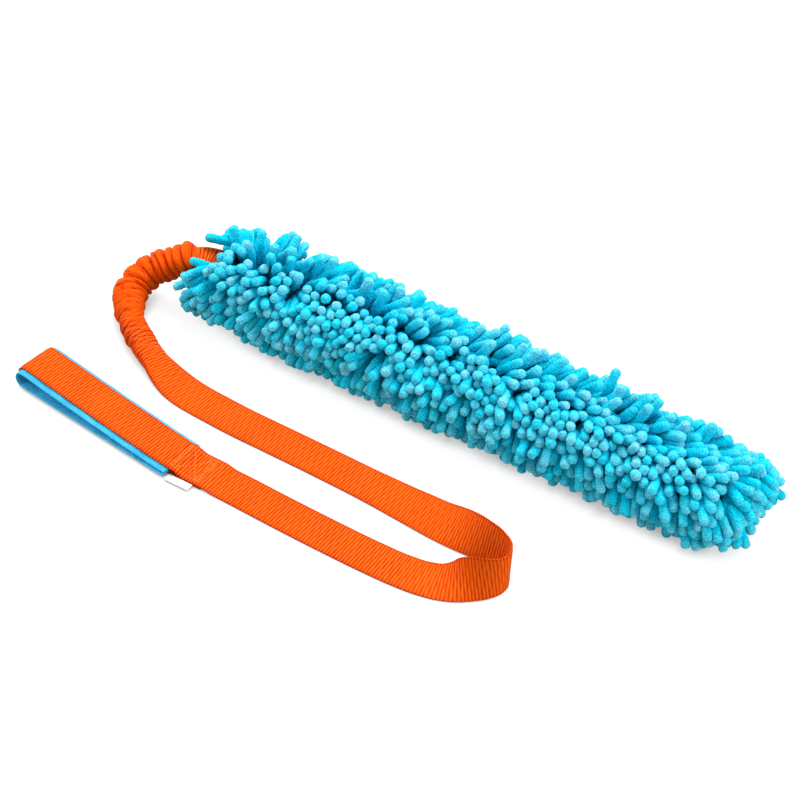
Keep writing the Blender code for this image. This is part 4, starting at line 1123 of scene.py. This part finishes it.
def leaves_stub_in_sight(chain):
    """Whether each noodle hides neither the stub nor the webbing's tip, which peeps out at the other end."""
    window_low, window_high = (MOP_NEAR_X - 0.036, MOP_Y - 0.013), (MOP_NEAR_X - 0.006, MOP_Y + 0.024)
    stub_z, tip_radius = MOP_Z + 0.004, 0.0040
    rise = (chain[..., 2:] - stub_z) / SIGHT[2]
    shadow = (chain - rise * SIGHT)[..., :2]
    over = (rise[..., 0] > 0) & ((shadow > window_low) & (shadow < window_high)).all(-1)
    from_tip = chain - np.array([TIP_X - 0.0003, MOP_Y, MOP_Z])
    ahead = from_tip @ SIGHT
    over |= (ahead > 0) & (np.linalg.norm(from_tip - ahead[..., None] * SIGHT, axis=-1) < tip_radius)
    clear = ~over.any(1)
    clear[-len(BY_THE_STUB):] = True
    return clear


def make_noodles():
    root, way = noodle_starts()
    length = NOODLE_LENGTH * random.uniform(0.86, 1.10, len(root))
    length *= 1 - 0.14 * ease((root[:, 0] - MOP_FAR_X + 0.030) / 0.030)
    chain = settle(root, way, length)
    clear = leaves_stub_in_sight(chain)
    points, values = noodle_mesh(chain[clear], length[clear])
    index = np.clip(((root[clear, 0] - MOP_NEAR_X) / SLICE_LENGTH).astype(int), 0, SLICES - 1)
    for i in range(SLICES):
        chosen = index == i
        make_slice(i, points[chosen], {key: value[chosen] for key, value in values.items()})


def make_slice(i, points, values):
    """One slice of the mop: its noodles and its tube of backing cloth, in one mesh."""
    count, rings, sides = points.shape[:3]
    base = count * rings * sides
    core_points, core_faces = core_slice(i)
    offset = (np.arange(count) * rings * sides)[:, None, None]
    faces, marks = [], []
    for found, core in zip(tube_faces(rings, sides), core_faces):
        faces.append(np.concatenate([(found + offset).reshape(-1, found.shape[1]), core + base]))
        marks += [np.zeros(count * len(found)), np.ones(len(core))]
    here = {}
    for key, value in values.items():
        value = value.reshape(base, *value.shape[3:])
        here[key] = np.concatenate([value, np.zeros((len(core_points), *value.shape[1:]))])
    piece = mesh_piece(
        f"chenille_{i + 1:02d}", np.concatenate([points.reshape(-1, 3), core_points]), faces,
        ["chenille", "cloth"], here, np.concatenate(marks),
    )
    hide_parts(f"mop_sleeve_{i + 1:02d}")
    if i + 1 == MIDDLE_SLICE:
        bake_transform(piece)
    else:
        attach(piece, "mop_bungee_half" if i + 1 < MIDDLE_SLICE else "mop")


def core_slice(i):
    """The backing cloth's tube for one slice, round the core webbing, with its points evenly spread."""
    rings, sides = 10, 48
    x = np.linspace(MOP_NEAR_X + SLICE_LENGTH * i, MOP_NEAR_X + SLICE_LENGTH * (i + 1), rings)
    a = np.linspace(0, 2 * math.pi, 1441)[:, None]
    fine = boxy(np.hstack([np.cos(a), np.sin(a)]), CORE_POWER) * MOP_CORE_HALF
    distance = arc(fine)
    oval = MOP_MIDDLE + resampled(fine, distance / distance[-1], np.arange(sides) / sides)
    points = np.column_stack([np.repeat(x, sides), np.tile(oval, (rings, 1))])
    return points, turned_over(tube_faces(rings, sides))


def make_camera():
    turned, dip = math.radians(34.4), math.radians(42.0)
    focal_pixels, picture_pixels = 2400, 794
    data = bpy.data.cameras.new("camera")
    data.sensor_width = 36.0
    data.lens = focal_pixels / picture_pixels * data.sensor_width
    data.clip_end = 30
    camera = new_object("camera", data)
    camera.location = Vector((0.90203, -1.30347, 1.489)) - Vector(CENTRE)
    look = Vector((-math.sin(turned) * math.cos(dip), math.cos(turned) * math.cos(dip), -math.sin(dip)))
    camera.rotation_euler = look.to_track_quat("-Z", "Y").to_euler()
    bpy.context.scene.camera = camera


def empty_tree(block):
    block.use_nodes = True
    block.node_tree.nodes.clear()
    return block.node_tree


def seen_directly(tree):
    """1 for what the camera sees, also by way of a mirror or glass, and 0 for what lights the toy."""
    path = node(tree, "LightPath").outputs
    seen = math_node(tree, "MAXIMUM", path["Is Camera Ray"], path["Is Glossy Ray"])
    return math_node(tree, "MAXIMUM", seen, path["Is Transmission Ray"])


def make_floor():
    """A pale floor that reads white to the camera and keeps the toy's shadow."""
    half_size, depth = 6.0, -0.0002
    mat = bpy.data.materials.new("floor")
    tree = empty_tree(mat)
    seen = seen_directly(tree)
    grey = minus(tree, 0.46, times(tree, seen, 0.25))
    colour = node(tree, "CombineColor", {"Red": grey, "Green": grey, "Blue": grey})
    diffuse = node(tree, "BsdfDiffuse", {"Color": colour.outputs["Color"]})
    # close to the toy the floor is darker, as where its underside keeps all light away
    close = node(tree, "AmbientOcclusion", {"Distance": 0.021}, samples=12).outputs["AO"]
    close = math_node(tree, "MINIMUM", add(tree, times(tree, close, 1.35), 0.10), 1.0)
    strength = times(tree, times(tree, seen, close), 0.87)
    glow = node(tree, "Emission", {"Color": (1, 1, 1, 1), "Strength": strength})
    both = node(tree, "AddShader", {0: diffuse.outputs[0], 1: glow.outputs[0]})
    node(tree, "OutputMaterial", {"Surface": both.outputs[0]})
    mesh = bpy.data.meshes.new("floor")
    corners = [(x * half_size, y * half_size, depth) for x, y in ((-1, -1), (1, -1), (1, 1), (-1, 1))]
    mesh.from_pydata(corners, [], [(0, 1, 2, 3)])
    mesh.materials.append(mat)
    floor = new_object("floor", mesh)


def area_light(name, place, target, size, power):
    data = bpy.data.lights.new(name, "AREA")
    data.shape = "DISK"
    data.size = size
    data.energy = power
    lamp = new_object(name, data)
    lamp.location = place
    lamp.rotation_euler = (Vector(target) - Vector(place)).to_track_quat("-Z", "Y").to_euler()


def make_light():
    world = bpy.data.worlds.new("studio")
    bpy.context.scene.world = world
    tree = empty_tree(world)
    seen = seen_directly(tree)
    # brighter overhead and behind than in front
    toward = node(tree, "VectorMath", {
        0: node(tree, "TexCoord").outputs["Generated"], 1: (0.15, 0.50, 0.85),
    }, operation="DOT_PRODUCT").outputs["Value"]
    soft = add(tree, times(tree, toward, 0.32), 0.42)
    strength = add(tree, seen, times(tree, minus(tree, 1.0, seen), soft))
    back = node(tree, "Background", {"Color": (1, 1, 1, 1), "Strength": strength})
    node(tree, "OutputWorld", {"Surface": back.outputs[0]})
    area_light("key", (-0.35, 0.85, 1.75), (0, 0, 0), 1.1, 38.0)
    area_light("fill", (-1.60, -0.65, 0.75), (0, 0, 0), 1.0, 18.0)
    area_light("side", (1.85, -0.10, 1.05), (0.1, 0, 0), 1.0, 24.0)


make_camera()
make_floor()
make_light()
make_noodles()
make_core_free_half()
make_core_bungee_half()
make_bar_tack()
make_hems()
make_sleeve()
make_cords()
make_strap()
make_sewn_end_stitches()
make_loop()
make_lining()
make_sewn_down_end()
make_box_stitch()
make_label()

bpy.context.scene.view_settings.view_transform = "Standard"
